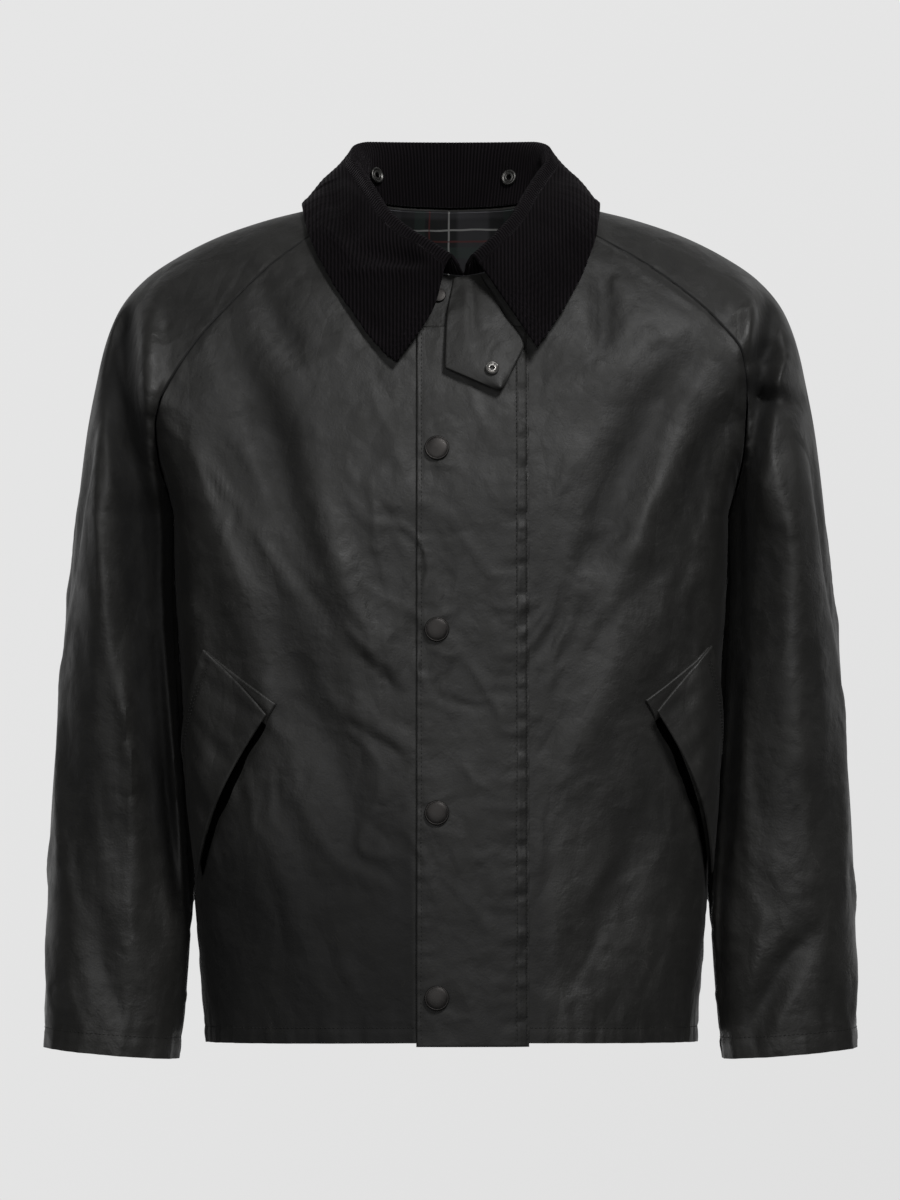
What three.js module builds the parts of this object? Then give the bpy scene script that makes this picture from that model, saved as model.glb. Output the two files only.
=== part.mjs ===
// A short waxed cotton jacket, filled out as if worn: raglan sleeves, a corduroy collar, a fly front with press
// studs, a throat tab and slanted pockets with flaps. Every piece of cloth is cut as a flat pattern, laid on the
// form of the jacket, given its thickness and then creased by the folds. Millimetres, +Z up. The front faces -Y,
// the wearer's left is +X, and the origin is the inside of the neck seam at the nape, where the wearer holds it
// up. The tables measure y from the plane of the side seams instead, which is NAPE_Y in front of the nape.
import * as THREE from "three";

// Driving dimensions
const NAPE_Y = 70;
const CLOTH = 2;
const LINING_CLOTH = 1;
const CORDUROY = 3;
const SEAM_GAP = 0.5;
const LAYER_GAP = 0.8;
const ARMPIT_Z = -248;
const PINCH = 0.12; // how far a sleeve turns out from the body as it leaves the armpit
const FRONT_NECK_Z = -6;
const BACK_NECK_Z = 4;
const CLOSURE_X = 10;
const HEM = { centreZ: -661, sideRise: -8 };
const FLY = { rightX: -27, leftX: 61, topZ: -101, bottomZ: -664, seam: 8, seamRise: 1 };
const CAP_STUD = { radius: 9.7, height: 4, rim: 1.2, segments: 18 };
const RING_STUD = { radius: 6.2, hole: 2, height: 2.4, segments: 18 };
const STUD_SEAT = 0.4;
const STUD_ARC = -11;
const STUD_HEIGHTS = [-198, -339, -482, -626];
const NECK_STUD = { radius: 6, arc: -10, z: -76 };
const HOOD_STUDS = { right: { x: 63, z: 25, seat: 2.3 }, left: { x: 49, z: 25, seat: 1.2 } };
const FLAP = { width: 78, hinge: 96, edge: 165, tilt: 33, edgeLift: 9, sag: 13 };
const FLAP_CORNER = { right: { arc: -136, z: -397 }, left: { arc: 153, z: -394 } };
const WELT_INSET = 1;
const TAB = { lift: 5, warp: 3 };
const COLLAR_POINT = { drop: 6, lift: 5 };

// How many steps each piece has along and across.
const STEPS = {
  front: { up: 24, neck: 4, raglan: 9 },
  back: { up: 24, neck: 4, raglan: 9 },
  sleeve: { along: 34, around: 20 },
  collar: { half: 20, across: [0, 0.1, 0.2, 0.3, 0.39, 0.46, 0.53, 0.62, 0.72, 0.81, 0.9, 1] },
  fly: { up: 26 },
  lining: { up: 7, across: 10 },
  flap: { along: 9, across: 4 },
  tab: { along: 5, across: 5 },
};

const SIDES = ["right", "left"];
const SIGN = { right: -1, left: 1 };
const FACE_SIGN = { front: -1, back: 1 };

// The torso at each height: how deep the front and the back are, and how square each section is.
const TORSO = [
  { z: -690, front: 150, back: 142, frontSquare: 2.4, backSquare: 2.3 },
  { z: -560, front: 145, back: 129, frontSquare: 2.5, backSquare: 2.4 },
  { z: -428, front: 139, back: 119, frontSquare: 2.7, backSquare: 2.6 },
  { z: -330, front: 136, back: 121, frontSquare: 2.9, backSquare: 2.8 },
  { z: -248, front: 132, back: 127, frontSquare: 3.1, backSquare: 3 },
  { z: -205, front: 124, back: 129, frontSquare: 3.1, backSquare: 3 },
  { z: -160, front: 113, back: 128, frontSquare: 3, backSquare: 2.9 },
  { z: -112, front: 98, back: 123, frontSquare: 2.8, backSquare: 2.7 },
  { z: -76, front: 84, back: 114, frontSquare: 2.5, backSquare: 2.4 },
  { z: -52, front: 72, back: 105, frontSquare: 2.3, backSquare: 2.2 },
  { z: -26, front: 56, back: 91, frontSquare: 2.1, backSquare: 2.1 },
  { z: -6, front: 42, back: 77, frontSquare: 2, backSquare: 2 },
  { z: 0, front: 36, back: 72, frontSquare: 2, backSquare: 2 },
  { z: 8, front: 28, back: 64, frontSquare: 2, backSquare: 2 },
];

// The side seams, from the hem to the armpits.
const SIDE_SEAM = [
  { z: -690, x: 194 },
  { z: -646, x: 197.5 },
  { z: -608, x: 200.5 },
  { z: -568, x: 203.5 },
  { z: -516, x: 206 },
  { z: -428, x: 212 },
  { z: -348, x: 217 },
  { z: -300, x: 220 },
  { z: -248, x: 221 },
];

// The raglan seams, from the armpit to the neck. The left one runs a little higher, as the jacket hangs.
const FRONT_RAGLAN = {
  right: [
    { z: -248, x: 221, y: 0 },
    { z: -230, x: 225, y: 22 },
    { z: -205, x: 231, y: 50 },
    { z: -180, x: 233, y: 72 },
    { z: -160, x: 229, y: 84 },
    { z: -138, x: 218, y: 86 },
    { z: -112, x: 201, y: 80 },
    { z: -76, x: 169, y: 66 },
    { z: -52, x: 145, y: 54 },
    { z: -26, x: 111, y: 40 },
    { z: -6, x: 82, y: 26 },
    { z: 8, x: 60, y: 18 },
  ],
  left: [
    { z: -248, x: 221, y: 0 },
    { z: -230, x: 226, y: 20 },
    { z: -205, x: 231, y: 42 },
    { z: -180, x: 233, y: 60 },
    { z: -150, x: 234, y: 74 },
    { z: -122, x: 230, y: 78 },
    { z: -96, x: 211, y: 74 },
    { z: -76, x: 190, y: 67 },
    { z: -48, x: 152, y: 54 },
    { z: -26, x: 114, y: 40 },
    { z: -6, x: 82, y: 26 },
    { z: 8, x: 60, y: 18 },
  ],
};
const BACK_RAGLAN = [
  { z: -248, x: 221, y: 0 },
  { z: -232, x: 225, y: 22 },
  { z: -210, x: 229, y: 48 },
  { z: -185, x: 228, y: 74 },
  { z: -158, x: 219, y: 88 },
  { z: -125, x: 202, y: 90 },
  { z: -90, x: 176, y: 84 },
  { z: -56, x: 146, y: 74 },
  { z: -30, x: 118, y: 64 },
  { z: -10, x: 90, y: 54 },
  { z: 4, x: 66, y: 46 },
  { z: 8, x: 58, y: 42 },
];

// The neckline from the centre (0) to the raglan seam (1), measured out from the centre line.
const NECKLINE = {
  front: [
    { part: 0, out: 0, z: -61 },
    { part: 0.2, out: 20, z: -58 },
    { part: 0.4, out: 39, z: -49 },
    { part: 0.6, out: 56, z: -36 },
    { part: 0.8, out: 71, z: -21 },
    { part: 1, out: 82, z: FRONT_NECK_Z },
  ],
  back: [
    { part: 0, out: 0, z: 0 },
    { part: 0.5, out: 36, z: 1 },
    { part: 1, out: 66, z: BACK_NECK_Z },
  ],
};

// The sleeve head, from the neck to the armpit. Each row crosses the shoulder from the front raglan seam at
// height front, over the point out, to the back raglan seam at height back. It leaves the seam rising by lift
// degrees along the cloth, or turned back on itself by fold at the armpit, and the pulls round it.
const SLEEVE_HEAD = [
  { front: -6, back: 4, outX: 79, outY: 4, outZ: 9, lift: 75, fold: 0, seamPull: 11, outPull: 12 },
  { front: -20, back: -6, outX: 108, outY: 4, outZ: -2, lift: 68, fold: 0, seamPull: 16, outPull: 16 },
  { front: -42, back: -22, outX: 145, outY: 4, outZ: -11.5, lift: 60, fold: 0, seamPull: 24, outPull: 23 },
  { front: -66, back: -46, outX: 183.5, outY: 4, outZ: -24.5, lift: 52, fold: 0, seamPull: 32, outPull: 30 },
  { front: -92, back: -78, outX: 218, outY: 4, outZ: -41.5, lift: 44, fold: 0, seamPull: 38, outPull: 36 },
  { front: -118, back: -112, outX: 245.5, outY: 4, outZ: -60.5, lift: 34, fold: 0, seamPull: 40, outPull: 42 },
  { front: -140, back: -142, outX: 265, outY: 4, outZ: -84, lift: 22, fold: 0.2, seamPull: 38, outPull: 48 },
  { front: -160, back: -168, outX: 277, outY: 4, outZ: -114, lift: 10, fold: 0.6, seamPull: 36, outPull: 58 },
  { front: -182, back: -192, outX: 284, outY: 4, outZ: -145, lift: 0, fold: 0.85, seamPull: 54, outPull: 72 },
  { front: -206, back: -214, outX: 290.5, outY: 3, outZ: -180, lift: 0, fold: 0.95, seamPull: 80, outPull: 92 },
  { front: -230, back: -234, outX: 295, outY: 2, outZ: -215, lift: 0, fold: 0.99, seamPull: 106, outPull: 110 },
  { front: -248, back: -248, outX: 298.5, outY: 1, outZ: -248, lift: 0, fold: 1, seamPull: 122, outPull: 122 },
];

// The arm, from below the armpit to the cuff: the inner and outer edges of the tube, and half its depth.
const ARM = [
  { innerX: 223, innerZ: -300, outX: 303, outZ: -298, y: 0, halfDepth: 88 },
  { innerX: 221, innerZ: -360, outX: 309.5, outZ: -357, y: -1, halfDepth: 83 },
  { innerX: 216.5, innerZ: -428, outX: 315, outZ: -424, y: -3, halfDepth: 76 },
  { innerX: 212, innerZ: -500, outX: 320, outZ: -495, y: -6, halfDepth: 67 },
  { innerX: 208, innerZ: -570, outX: 323, outZ: -564, y: -10, halfDepth: 58 },
  { innerX: 211, innerZ: -628, outX: 324.5, outZ: -621, y: -14, halfDepth: 50 },
  { innerX: 216.5, innerZ: -681, outX: 324, outZ: -672, y: -17, halfDepth: 43 },
];
const HALF_ELLIPSE = 4 / 3; // a cubic curve with pulls of 4/3 of the depth is half an ellipse

// The collar, from the back of the neck (0) to its front end (1): the roll line, and the edge of the leaf.
// Shift moves a row towards the wearer's left, where the front closes.
const COLLAR = [
  { along: 0, rollX: 0, rollY: 82, rollZ: 54, rollShift: 0, edgeX: 0, edgeY: 110, edgeZ: -16, edgeShift: 0 },
  { along: 0.12, rollX: 37, rollY: 79, rollZ: 54, rollShift: 0, edgeX: 47, edgeY: 106, edgeZ: -16, edgeShift: 0 },
  { along: 0.24, rollX: 66, rollY: 66, rollZ: 53.5, rollShift: 0, edgeX: 84, edgeY: 90, edgeZ: -13, edgeShift: 0 },
  { along: 0.33, rollX: 77.5, rollY: 47, rollZ: 49, rollShift: 0, edgeX: 105, edgeY: 66, edgeZ: -5, edgeShift: 0 },
  { along: 0.43, rollX: 79, rollY: 24, rollZ: 39, rollShift: 0, edgeX: 116, edgeY: 34, edgeZ: 2, edgeShift: 0 },
  { along: 0.53, rollX: 71, rollY: 0, rollZ: 25, rollShift: 0, edgeX: 119, edgeY: 0, edgeZ: 0, edgeShift: 0 },
  { along: 0.63, rollX: 62, rollY: -24, rollZ: 10, rollShift: 0, edgeX: 115, edgeY: -44, edgeZ: -23, edgeShift: 1 },
  { along: 0.73, rollX: 52, rollY: -47, rollZ: -7, rollShift: 1, edgeX: 102, edgeY: -74, edgeZ: -56, edgeShift: 3 },
  { along: 0.82, rollX: 38, rollY: -67, rollZ: -22, rollShift: 3, edgeX: 82, edgeY: -95, edgeZ: -90, edgeShift: 6 },
  { along: 0.91, rollX: 23, rollY: -83, rollZ: -34, rollShift: 7, edgeX: 64, edgeY: -107, edgeZ: -115, edgeShift: 9 },
  { along: 1, rollX: 11, rollY: -94, rollZ: -43, rollShift: 9, edgeX: 55, edgeY: -113, edgeZ: -124, edgeShift: 12.5 },
];
const ROLL = { half: 5, drop: 6, bulge: 5 };

// The throat tab in the front view, down its right edge and its left edge from the neck.
const TAB_OUTLINE = [
  { part: 0, rightX: -3, rightZ: -76, leftX: 26, leftZ: -72 },
  { part: 0.5, rightX: -4, rightZ: -104, leftX: 42, leftZ: -95 },
  { part: 0.8, rightX: -5, rightZ: -137, leftX: 57, leftZ: -121 },
  { part: 1, rightX: 37, rightZ: -155, leftX: 41, leftZ: -153 },
];
const TAB_STUD = { arc: 32, z: -139 };

// The largest folds, as they show from the front or the back: a line from one point to another, bowed
// sideways, with its half width and its height. A ridge is positive and a trough negative.
const FOLDS = {
  front: [
    { fromX: -184, fromZ: -96, toX: -108, toZ: -300, bow: -10, width: 17, height: -12 },
    { fromX: -214, fromZ: -150, toX: -126, toZ: -400, bow: 10, width: 20, height: 10 },
    { fromX: -152, fromZ: -62, toX: -112, toZ: -130, bow: 4, width: 10, height: -6 },
    { fromX: -124, fromZ: -190, toX: -34, toZ: -390, bow: 8, width: 15, height: 7 },
    { fromX: -176, fromZ: -300, toX: -60, toZ: -520, bow: -14, width: 20, height: -7 },
    { fromX: -190, fromZ: -440, toX: -96, toZ: -640, bow: -8, width: 22, height: 6 },
    { fromX: 205, fromZ: -106, toX: 112, toZ: -300, bow: 16, width: 17, height: -12 },
    { fromX: 230, fromZ: -158, toX: 180, toZ: -260, bow: 8, width: 13, height: -10 },
    { fromX: 200, fromZ: -170, toX: 120, toZ: -360, bow: 10, width: 16, height: 9 },
    { fromX: 118, fromZ: -48, toX: 122, toZ: -130, bow: 0, width: 9, height: -6 },
    { fromX: 206, fromZ: -280, toX: 84, toZ: -470, bow: 14, width: 20, height: 6 },
    { fromX: 168, fromZ: -430, toX: 84, toZ: -630, bow: -10, width: 22, height: -7 },
    { fromX: -237, fromZ: -52, toX: -236, toZ: -170, bow: 3, width: 10, height: 9 },
    { fromX: -281, fromZ: -140, toX: -247, toZ: -500, bow: -8, width: 11, height: 10 },
    { fromX: -262, fromZ: -110, toX: -236, toZ: -330, bow: -4, width: 12, height: -12 },
    { fromX: -246, fromZ: -300, toX: -228, toZ: -600, bow: -4, width: 13, height: -8 },
    { fromX: -302, fromZ: -400, toX: -262, toZ: -650, bow: 8, width: 14, height: -7 },
    { fromX: 236, fromZ: -54, toX: 232, toZ: -130, bow: -3, width: 10, height: 9 },
    { fromX: 228, fromZ: -128, toX: 276, toZ: -114, bow: -3, width: 7, height: -6 },
    { fromX: 226, fromZ: -146, toX: 280, toZ: -162, bow: 3, width: 9, height: -11 },
    { fromX: 226, fromZ: -176, toX: 270, toZ: -270, bow: 5, width: 12, height: 9 },
    { fromX: 268, fromZ: -170, toX: 246, toZ: -430, bow: 8, width: 13, height: -9 },
    { fromX: 268, fromZ: -260, toX: 286, toZ: -590, bow: 4, width: 13, height: 8 },
    { fromX: 290, fromZ: -570, toX: 234, toZ: -690, bow: 10, width: 11, height: -9 },
    { fromX: -84, fromZ: 4, toX: -22, toZ: -58, bow: -8, width: 8, height: -6 },
  ],
  back: [
    { fromX: -216, fromZ: -140, toX: -100, toZ: -340, bow: 14, width: 18, height: -12 },
    { fromX: -196, fromZ: -110, toX: -60, toZ: -290, bow: 10, width: 20, height: 8 },
    { fromX: 214, fromZ: -150, toX: 110, toZ: -360, bow: -14, width: 18, height: -12 },
    { fromX: 190, fromZ: -106, toX: 76, toZ: -270, bow: -8, width: 20, height: 8 },
    { fromX: -30, fromZ: -300, toX: -84, toZ: -620, bow: 10, width: 24, height: 8 },
    { fromX: -140, fromZ: -330, toX: -150, toZ: -650, bow: -6, width: 20, height: -7 },
    { fromX: 56, fromZ: -360, toX: 100, toZ: -650, bow: -8, width: 22, height: -8 },
    { fromX: -270, fromZ: -110, toX: -246, toZ: -350, bow: -5, width: 13, height: -11 },
    { fromX: 272, fromZ: -120, toX: 248, toZ: -370, bow: 5, width: 13, height: -11 },
    { fromX: -290, fromZ: -330, toX: -254, toZ: -620, bow: 6, width: 14, height: 8 },
    { fromX: 294, fromZ: -360, toX: 258, toZ: -640, bow: -6, width: 14, height: 8 },
  ],
};
const FOLD_START_Y = 12; // the folds fade in between these distances from the side seams' plane
const FOLD_FULL_Y = 55;

const COLOURS = {
  wax: new THREE.MeshStandardMaterial({ color: 0x35352f, roughness: 0.5, metalness: 0 }),
  corduroy: new THREE.MeshStandardMaterial({ color: 0x141214, roughness: 0.95, metalness: 0 }),
  lining: new THREE.MeshStandardMaterial({ color: 0x3a3b3d, roughness: 0.9, metalness: 0 }),
  cap: new THREE.MeshStandardMaterial({ color: 0x45423f, roughness: 0.45, metalness: 0.7 }),
  ring: new THREE.MeshStandardMaterial({ color: 0xa7a6a0, roughness: 0.3, metalness: 1 }),
};

const lerp = THREE.MathUtils.lerp;
const radians = THREE.MathUtils.degToRad;
const v = (x, y, z) => new THREE.Vector3(x, y, z);

// A smooth curve through one column of a table, read at a value of its key column. It doesn't overshoot.
function read(rows, key, column, value) {
  const down = rows[0][key] > rows[rows.length - 1][key];
  const ordered = down ? [...rows].reverse() : rows;
  const last = ordered.length - 1;
  if (value <= ordered[0][key]) return ordered[0][column];
  if (value >= ordered[last][key]) return ordered[last][column];
  let i = 0;
  while (ordered[i + 1][key] < value) i++;
  const step = (k) => ordered[k + 1][key] - ordered[k][key];
  const rise = (k) => (ordered[k + 1][column] - ordered[k][column]) / step(k);
  const slope = (k) => {
    if (k === 0) return rise(0);
    if (k === last) return rise(last - 1);
    const before = rise(k - 1);
    const after = rise(k);
    return before * after <= 0 ? 0 : (2 * before * after) / (before + after);
  };
  const h = step(i);
  const t = (value - ordered[i][key]) / h;
  const ends = (2 * t ** 3 - 3 * t ** 2 + 1) * ordered[i][column] + (3 * t ** 2 - 2 * t ** 3) * ordered[i + 1][column];
  return ends + h * ((t ** 3 - 2 * t ** 2 + t) * slope(i) + (t ** 3 - t ** 2) * slope(i + 1));
}

// Where the front or the back panel ends at a height: at the side seam, or at the raglan seam above the armpit.
function panelEdge(face, side, z) {
  if (z <= ARMPIT_Z) return { x: read(SIDE_SEAM, "z", "x", z), y: 0 };
  const rows = face === "front" ? FRONT_RAGLAN[side] : BACK_RAGLAN;
  return { x: read(rows, "z", "x", z), y: read(rows, "z", "y", z) };
}

// One quarter of the torso's section: a superellipse through the panel's edge, as points with their distance
// from the centre line along the cloth.
const SECTION_STEPS = 96;
const sections = new Map();
function section(face, side, z) {
  const name = `${face} ${side} ${z.toFixed(4)}`;
  if (sections.has(name)) return sections.get(name);
  const depth = read(TORSO, "z", face, z);
  const power = read(TORSO, "z", `${face}Square`, z);
  const edge = panelEdge(face, side, z);
  const halfWidth = edge.x / (1 - (edge.y / depth) ** power) ** (1 / power);
  const points = [{ x: 0, y: depth, arc: 0 }];
  for (let i = 1; i <= SECTION_STEPS; i++) {
    const turn = ((i / SECTION_STEPS) ** 1.3 * Math.PI) / 2;
    const x = halfWidth * Math.sin(turn) ** (2 / power);
    const y = i === SECTION_STEPS ? 0 : depth * Math.cos(turn) ** (2 / power);
    const before = points[i - 1];
    points.push({ x, y, arc: before.arc + Math.hypot(x - before.x, y - before.y) });
  }
  const made = { points, halfWidth, depth, power, edge };
  sections.set(name, made);
  return made;
}

// The first stretch of a list of points whose column reaches a value, and how far along it that is.
function locate(points, column, value) {
  let i = 0;
  while (i < points.length - 2 && points[i + 1][column] < value) i++;
  const span = points[i + 1][column] - points[i][column];
  return { i, part: (value - points[i][column]) / Math.max(span, 1e-9) };
}

// The point of the torso at a distance along the cloth from the centre line, to the left if positive.
function torsoPoint(face, arc, z) {
  const side = arc < 0 ? "right" : "left";
  const { points } = section(face, side, z);
  const { i, part } = locate(points, "arc", Math.abs(arc));
  const x = lerp(points[i].x, points[i + 1].x, part);
  const y = lerp(points[i].y, points[i + 1].y, part);
  return v(SIGN[side] * x, FACE_SIGN[face] * y, z);
}

// The distance along the cloth at which the torso is at x, and at which a panel ends.
function arcAtX(face, x, z) {
  const { points } = section(face, x < 0 ? "right" : "left", z);
  const { i, part } = locate(points, "x", Math.abs(x));
  return Math.sign(x) * lerp(points[i].arc, points[i + 1].arc, part);
}
function edgeArc(face, side, z) {
  const { points, halfWidth, power, edge } = section(face, side, z);
  if (edge.y === 0) return SIGN[side] * points[SECTION_STEPS].arc;
  const turn = Math.asin((edge.x / halfWidth) ** (power / 2));
  const place = ((turn * 2) / Math.PI) ** (1 / 1.3) * SECTION_STEPS;
  const i = Math.min(Math.floor(place), SECTION_STEPS - 1);
  return SIGN[side] * lerp(points[i].arc, points[i + 1].arc, place - i);
}

// The direction out of the torso's cloth at a point of its pattern.
function torsoNormal(face, arc, z) {
  const across = torsoPoint(face, arc + 1, z).sub(torsoPoint(face, arc - 1, z));
  const up = torsoPoint(face, arc, z + 1).sub(torsoPoint(face, arc, z - 1));
  return across.cross(up).normalize().multiplyScalar(-FACE_SIGN[face]);
}

// How far the folds move a point. They act on everything there alike, so pieces that lie together stay together.
function foldHeight(folds, x, z) {
  let height = 0;
  for (const fold of folds) {
    const dx = fold.toX - fold.fromX;
    const dz = fold.toZ - fold.fromZ;
    const length = Math.hypot(dx, dz);
    const along = ((x - fold.fromX) * dx + (z - fold.fromZ) * dz) / length ** 2;
    if (along <= 0 || along >= 1) continue;
    const sideways = ((x - fold.fromX) * dz - (z - fold.fromZ) * dx) / length;
    const off = (sideways - fold.bow * 4 * along * (1 - along)) / fold.width;
    height += fold.height * Math.exp(-off * off) * Math.sin(Math.PI * along) ** 0.8;
  }
  return height;
}
function creased(point) {
  const face = point.y < 0 ? "front" : "back";
  const share = THREE.MathUtils.smoothstep(Math.abs(point.y), FOLD_START_Y, FOLD_FULL_Y);
  const move = FACE_SIGN[face] * share * foldHeight(FOLDS[face], point.x, point.z);
  return v(point.x, point.y + move, point.z);
}

// A closed wall between two grids of points that have the same rows and columns.
function wall(outer, inner) {
  const rows = outer.length;
  const columns = outer[0].length;
  const position = [...outer.flat(), ...inner.flat()].flatMap((p) => creased(p).toArray());
  const at = (layer, i, j) => layer * rows * columns + i * columns + j;
  const index = [];
  const quad = (a, b, c, d) => index.push(a, b, c, a, c, d);
  for (let i = 0; i < rows - 1; i++)
    for (let j = 0; j < columns - 1; j++) {
      quad(at(0, i, j), at(0, i, j + 1), at(0, i + 1, j + 1), at(0, i + 1, j));
      quad(at(1, i, j), at(1, i + 1, j), at(1, i + 1, j + 1), at(1, i, j + 1));
    }
  for (let j = 0; j < columns - 1; j++) {
    quad(at(0, 0, j), at(1, 0, j), at(1, 0, j + 1), at(0, 0, j + 1));
    quad(at(0, rows - 1, j), at(0, rows - 1, j + 1), at(1, rows - 1, j + 1), at(1, rows - 1, j));
  }
  for (let i = 0; i < rows - 1; i++) {
    quad(at(0, i, 0), at(0, i + 1, 0), at(1, i + 1, 0), at(1, i, 0));
    quad(at(0, i, columns - 1), at(1, i, columns - 1), at(1, i + 1, columns - 1), at(0, i + 1, columns - 1));
  }
  const geometry = new THREE.BufferGeometry();
  geometry.setAttribute("position", new THREE.Float32BufferAttribute(position, 3));
  geometry.setIndex(signedVolume(position, index) < 0 ? index.reverse() : index);
  geometry.computeVertexNormals();
  return geometry;
}
function signedVolume(position, index) {
  const corner = (k) => v(...position.slice(3 * k, 3 * k + 3));
  let volume = 0;
  for (let k = 0; k < index.length; k += 3)
    volume += corner(index[k]).dot(corner(index[k + 1]).cross(corner(index[k + 2])));
  return volume;
}

// Each point of a grid moved along the grid's own normal. Where the grid may face either way, outward says which
// way is out at a point.
function moved(grid, distance, outward) {
  const last = { i: grid.length - 1, j: grid[0].length - 1 };
  return grid.map((row, i) =>
    row.map((point, j) => {
      const along = grid[Math.min(i + 1, last.i)][j].clone().sub(grid[Math.max(i - 1, 0)][j]);
      const across = row[Math.min(j + 1, last.j)].clone().sub(row[Math.max(j - 1, 0)]);
      const normal = along.cross(across).normalize();
      if (outward && normal.dot(outward(point)) < 0) normal.negate();
      return point.clone().addScaledVector(normal, distance);
    }),
  );
}

// A grid between four edges given in the pattern, each as a function from 0 to 1.
function fill(bottom, top, start, end, up, acrossSteps) {
  const mix = (a, b, part) => ({ arc: lerp(a.arc, b.arc, part), z: lerp(a.z, b.z, part) });
  const corners = [start(0), end(0), start(1), end(1)];
  return Array.from({ length: up + 1 }, (_, i) =>
    acrossSteps.map((across) => {
      const rise = i / up;
      const straight = mix(bottom(across), top(across), rise);
      const side = mix(start(rise), end(rise), across);
      const both = mix(mix(corners[0], corners[1], across), mix(corners[2], corners[3], across), rise);
      return { arc: straight.arc + side.arc - both.arc, z: straight.z + side.z - both.z };
    }),
  );
}
const even = (steps) => Array.from({ length: steps + 1 }, (_, i) => i / steps);

function hemZ(arc) {
  return HEM.centreZ + HEM.sideRise * Math.min(Math.abs(arc) / 290, 1) ** 2;
}

// A point of the neckline, from the centre (0) to the raglan seam (1).
function neckPoint(face, side, part) {
  const out = SIGN[side] * read(NECKLINE[face], "part", "out", part);
  const shift = face === "front" ? CLOSURE_X * (1 - part) ** 2 : 0;
  const z = read(NECKLINE[face], "part", "z", part);
  return { arc: part === 1 ? edgeArc(face, side, z) : arcAtX(face, out + shift, z), z };
}

// The pattern of half of the front or the back: the neckline and the raglan seam are its top.
function panelPattern(face, side, centreArc) {
  const steps = STEPS[face];
  const neckShare = steps.neck / (steps.neck + steps.raglan);
  const inset = SIGN[side] * (SEAM_GAP / 2);
  const neckZ = face === "front" ? FRONT_NECK_Z : BACK_NECK_Z;
  const start = (rise) => ({ arc: centreArc, z: lerp(hemZ(centreArc), neckPoint(face, side, 0).z, rise) });
  const end = (rise) => {
    const z = lerp(hemZ(Infinity), ARMPIT_Z, rise);
    return { arc: edgeArc(face, side, z) - inset, z };
  };
  const bottom = (across) => {
    const arc = lerp(centreArc, end(0).arc, across);
    return { arc, z: lerp(start(0).z, end(0).z, across ** 2) };
  };
  const top = (across) => {
    if (across <= 0) return { arc: centreArc, z: start(1).z };
    if (across < neckShare) return neckPoint(face, side, across / neckShare);
    const z = lerp(neckZ, ARMPIT_Z, ((across - neckShare) / (1 - neckShare)) ** 1.05);
    return { arc: edgeArc(face, side, z) - inset, z: z - SEAM_GAP / 2 };
  };
  return fill(bottom, top, start, end, steps.up, even(steps.neck + steps.raglan));
}

// A piece that lies on the torso: its pattern's points, moved out from the cloth by near and far.
function onTorso(face, pattern, near, far) {
  const place = (distance) =>
    pattern.map((row, i) =>
      row.map(({ arc, z }, j) => {
        const off = typeof distance === "function" ? distance(i, j) : distance;
        return torsoPoint(face, arc, z).addScaledVector(torsoNormal(face, arc, z), off);
      }),
    );
  return wall(place(far), place(near));
}

function frontPanel(side) {
  const centreArc = CLOSURE_X + SIGN[side] * (SEAM_GAP / 2);
  return onTorso("front", panelPattern("front", side, centreArc), -CLOTH, 0);
}

// The back is one piece, so its two halves share the centre line.
function backPattern() {
  const halves = SIDES.map((side) => panelPattern("back", side, 0));
  return halves[1].map((row, i) => [...halves[0][i].slice(1).reverse(), ...row]);
}
function backPanel() {
  return onTorso("back", backPattern(), -CLOTH, 0);
}

// The lining shows only inside the neck, so it is the upper middle of the back's pattern, laid inside it.
function liningPanel() {
  const { up, across } = STEPS.lining;
  const pattern = backPattern().slice(-up - 1);
  const middle = (pattern[0].length - 1) / 2;
  const near = -CLOTH - LAYER_GAP;
  return onTorso("back", pattern.map((row) => row.slice(middle - across, middle + across + 1)), near - LINING_CLOTH, near);
}

// The direction in which the sleeve leaves a raglan seam.
function leave(face, side, z, row) {
  const arc = edgeArc(face, side, z);
  const out = torsoPoint(face, arc, z).sub(torsoPoint(face, arc - SIGN[side] * 2, z)).normalize();
  const up = torsoPoint(face, arc, z + 2).sub(torsoPoint(face, arc, z - 2)).normalize();
  const smooth = out.multiplyScalar(Math.cos(radians(row.lift))).addScaledVector(up, Math.sin(radians(row.lift)));
  const folded = v(PINCH * SIGN[side], FACE_SIGN[face], 0);
  return smooth.normalize().lerp(folded, row.fold).normalize();
}

// One line across the sleeve at a station: 0 at the neck, the last row of SLEEVE_HEAD at the armpit, and then
// the rows of ARM. It runs from the front seam over the outer edge to the back seam.
const STATIONS = [
  ...SLEEVE_HEAD,
  ...ARM.map((row) => ({
    ...row,
    outY: row.y,
    front: ARMPIT_Z,
    back: ARMPIT_Z,
    lift: 0,
    fold: 1,
    seamPull: row.halfDepth * HALF_ELLIPSE,
    outPull: row.halfDepth * HALF_ELLIPSE,
  })),
].map((row, station) => ({ station, ...row }));
const ARMPIT_STATION = SLEEVE_HEAD.length - 1;
const LAST_STATION = STATIONS.length - 1;
const ARMPIT_INNER = { innerX: 221 + 2 * SEAM_GAP, innerZ: ARMPIT_Z - SEAM_GAP, y: 0 };
const INNER = STATIONS.slice(ARMPIT_STATION).map((row, i) => (i === 0 ? { ...row, ...ARMPIT_INNER } : row));
const ROW_STEPS = 24;

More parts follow.
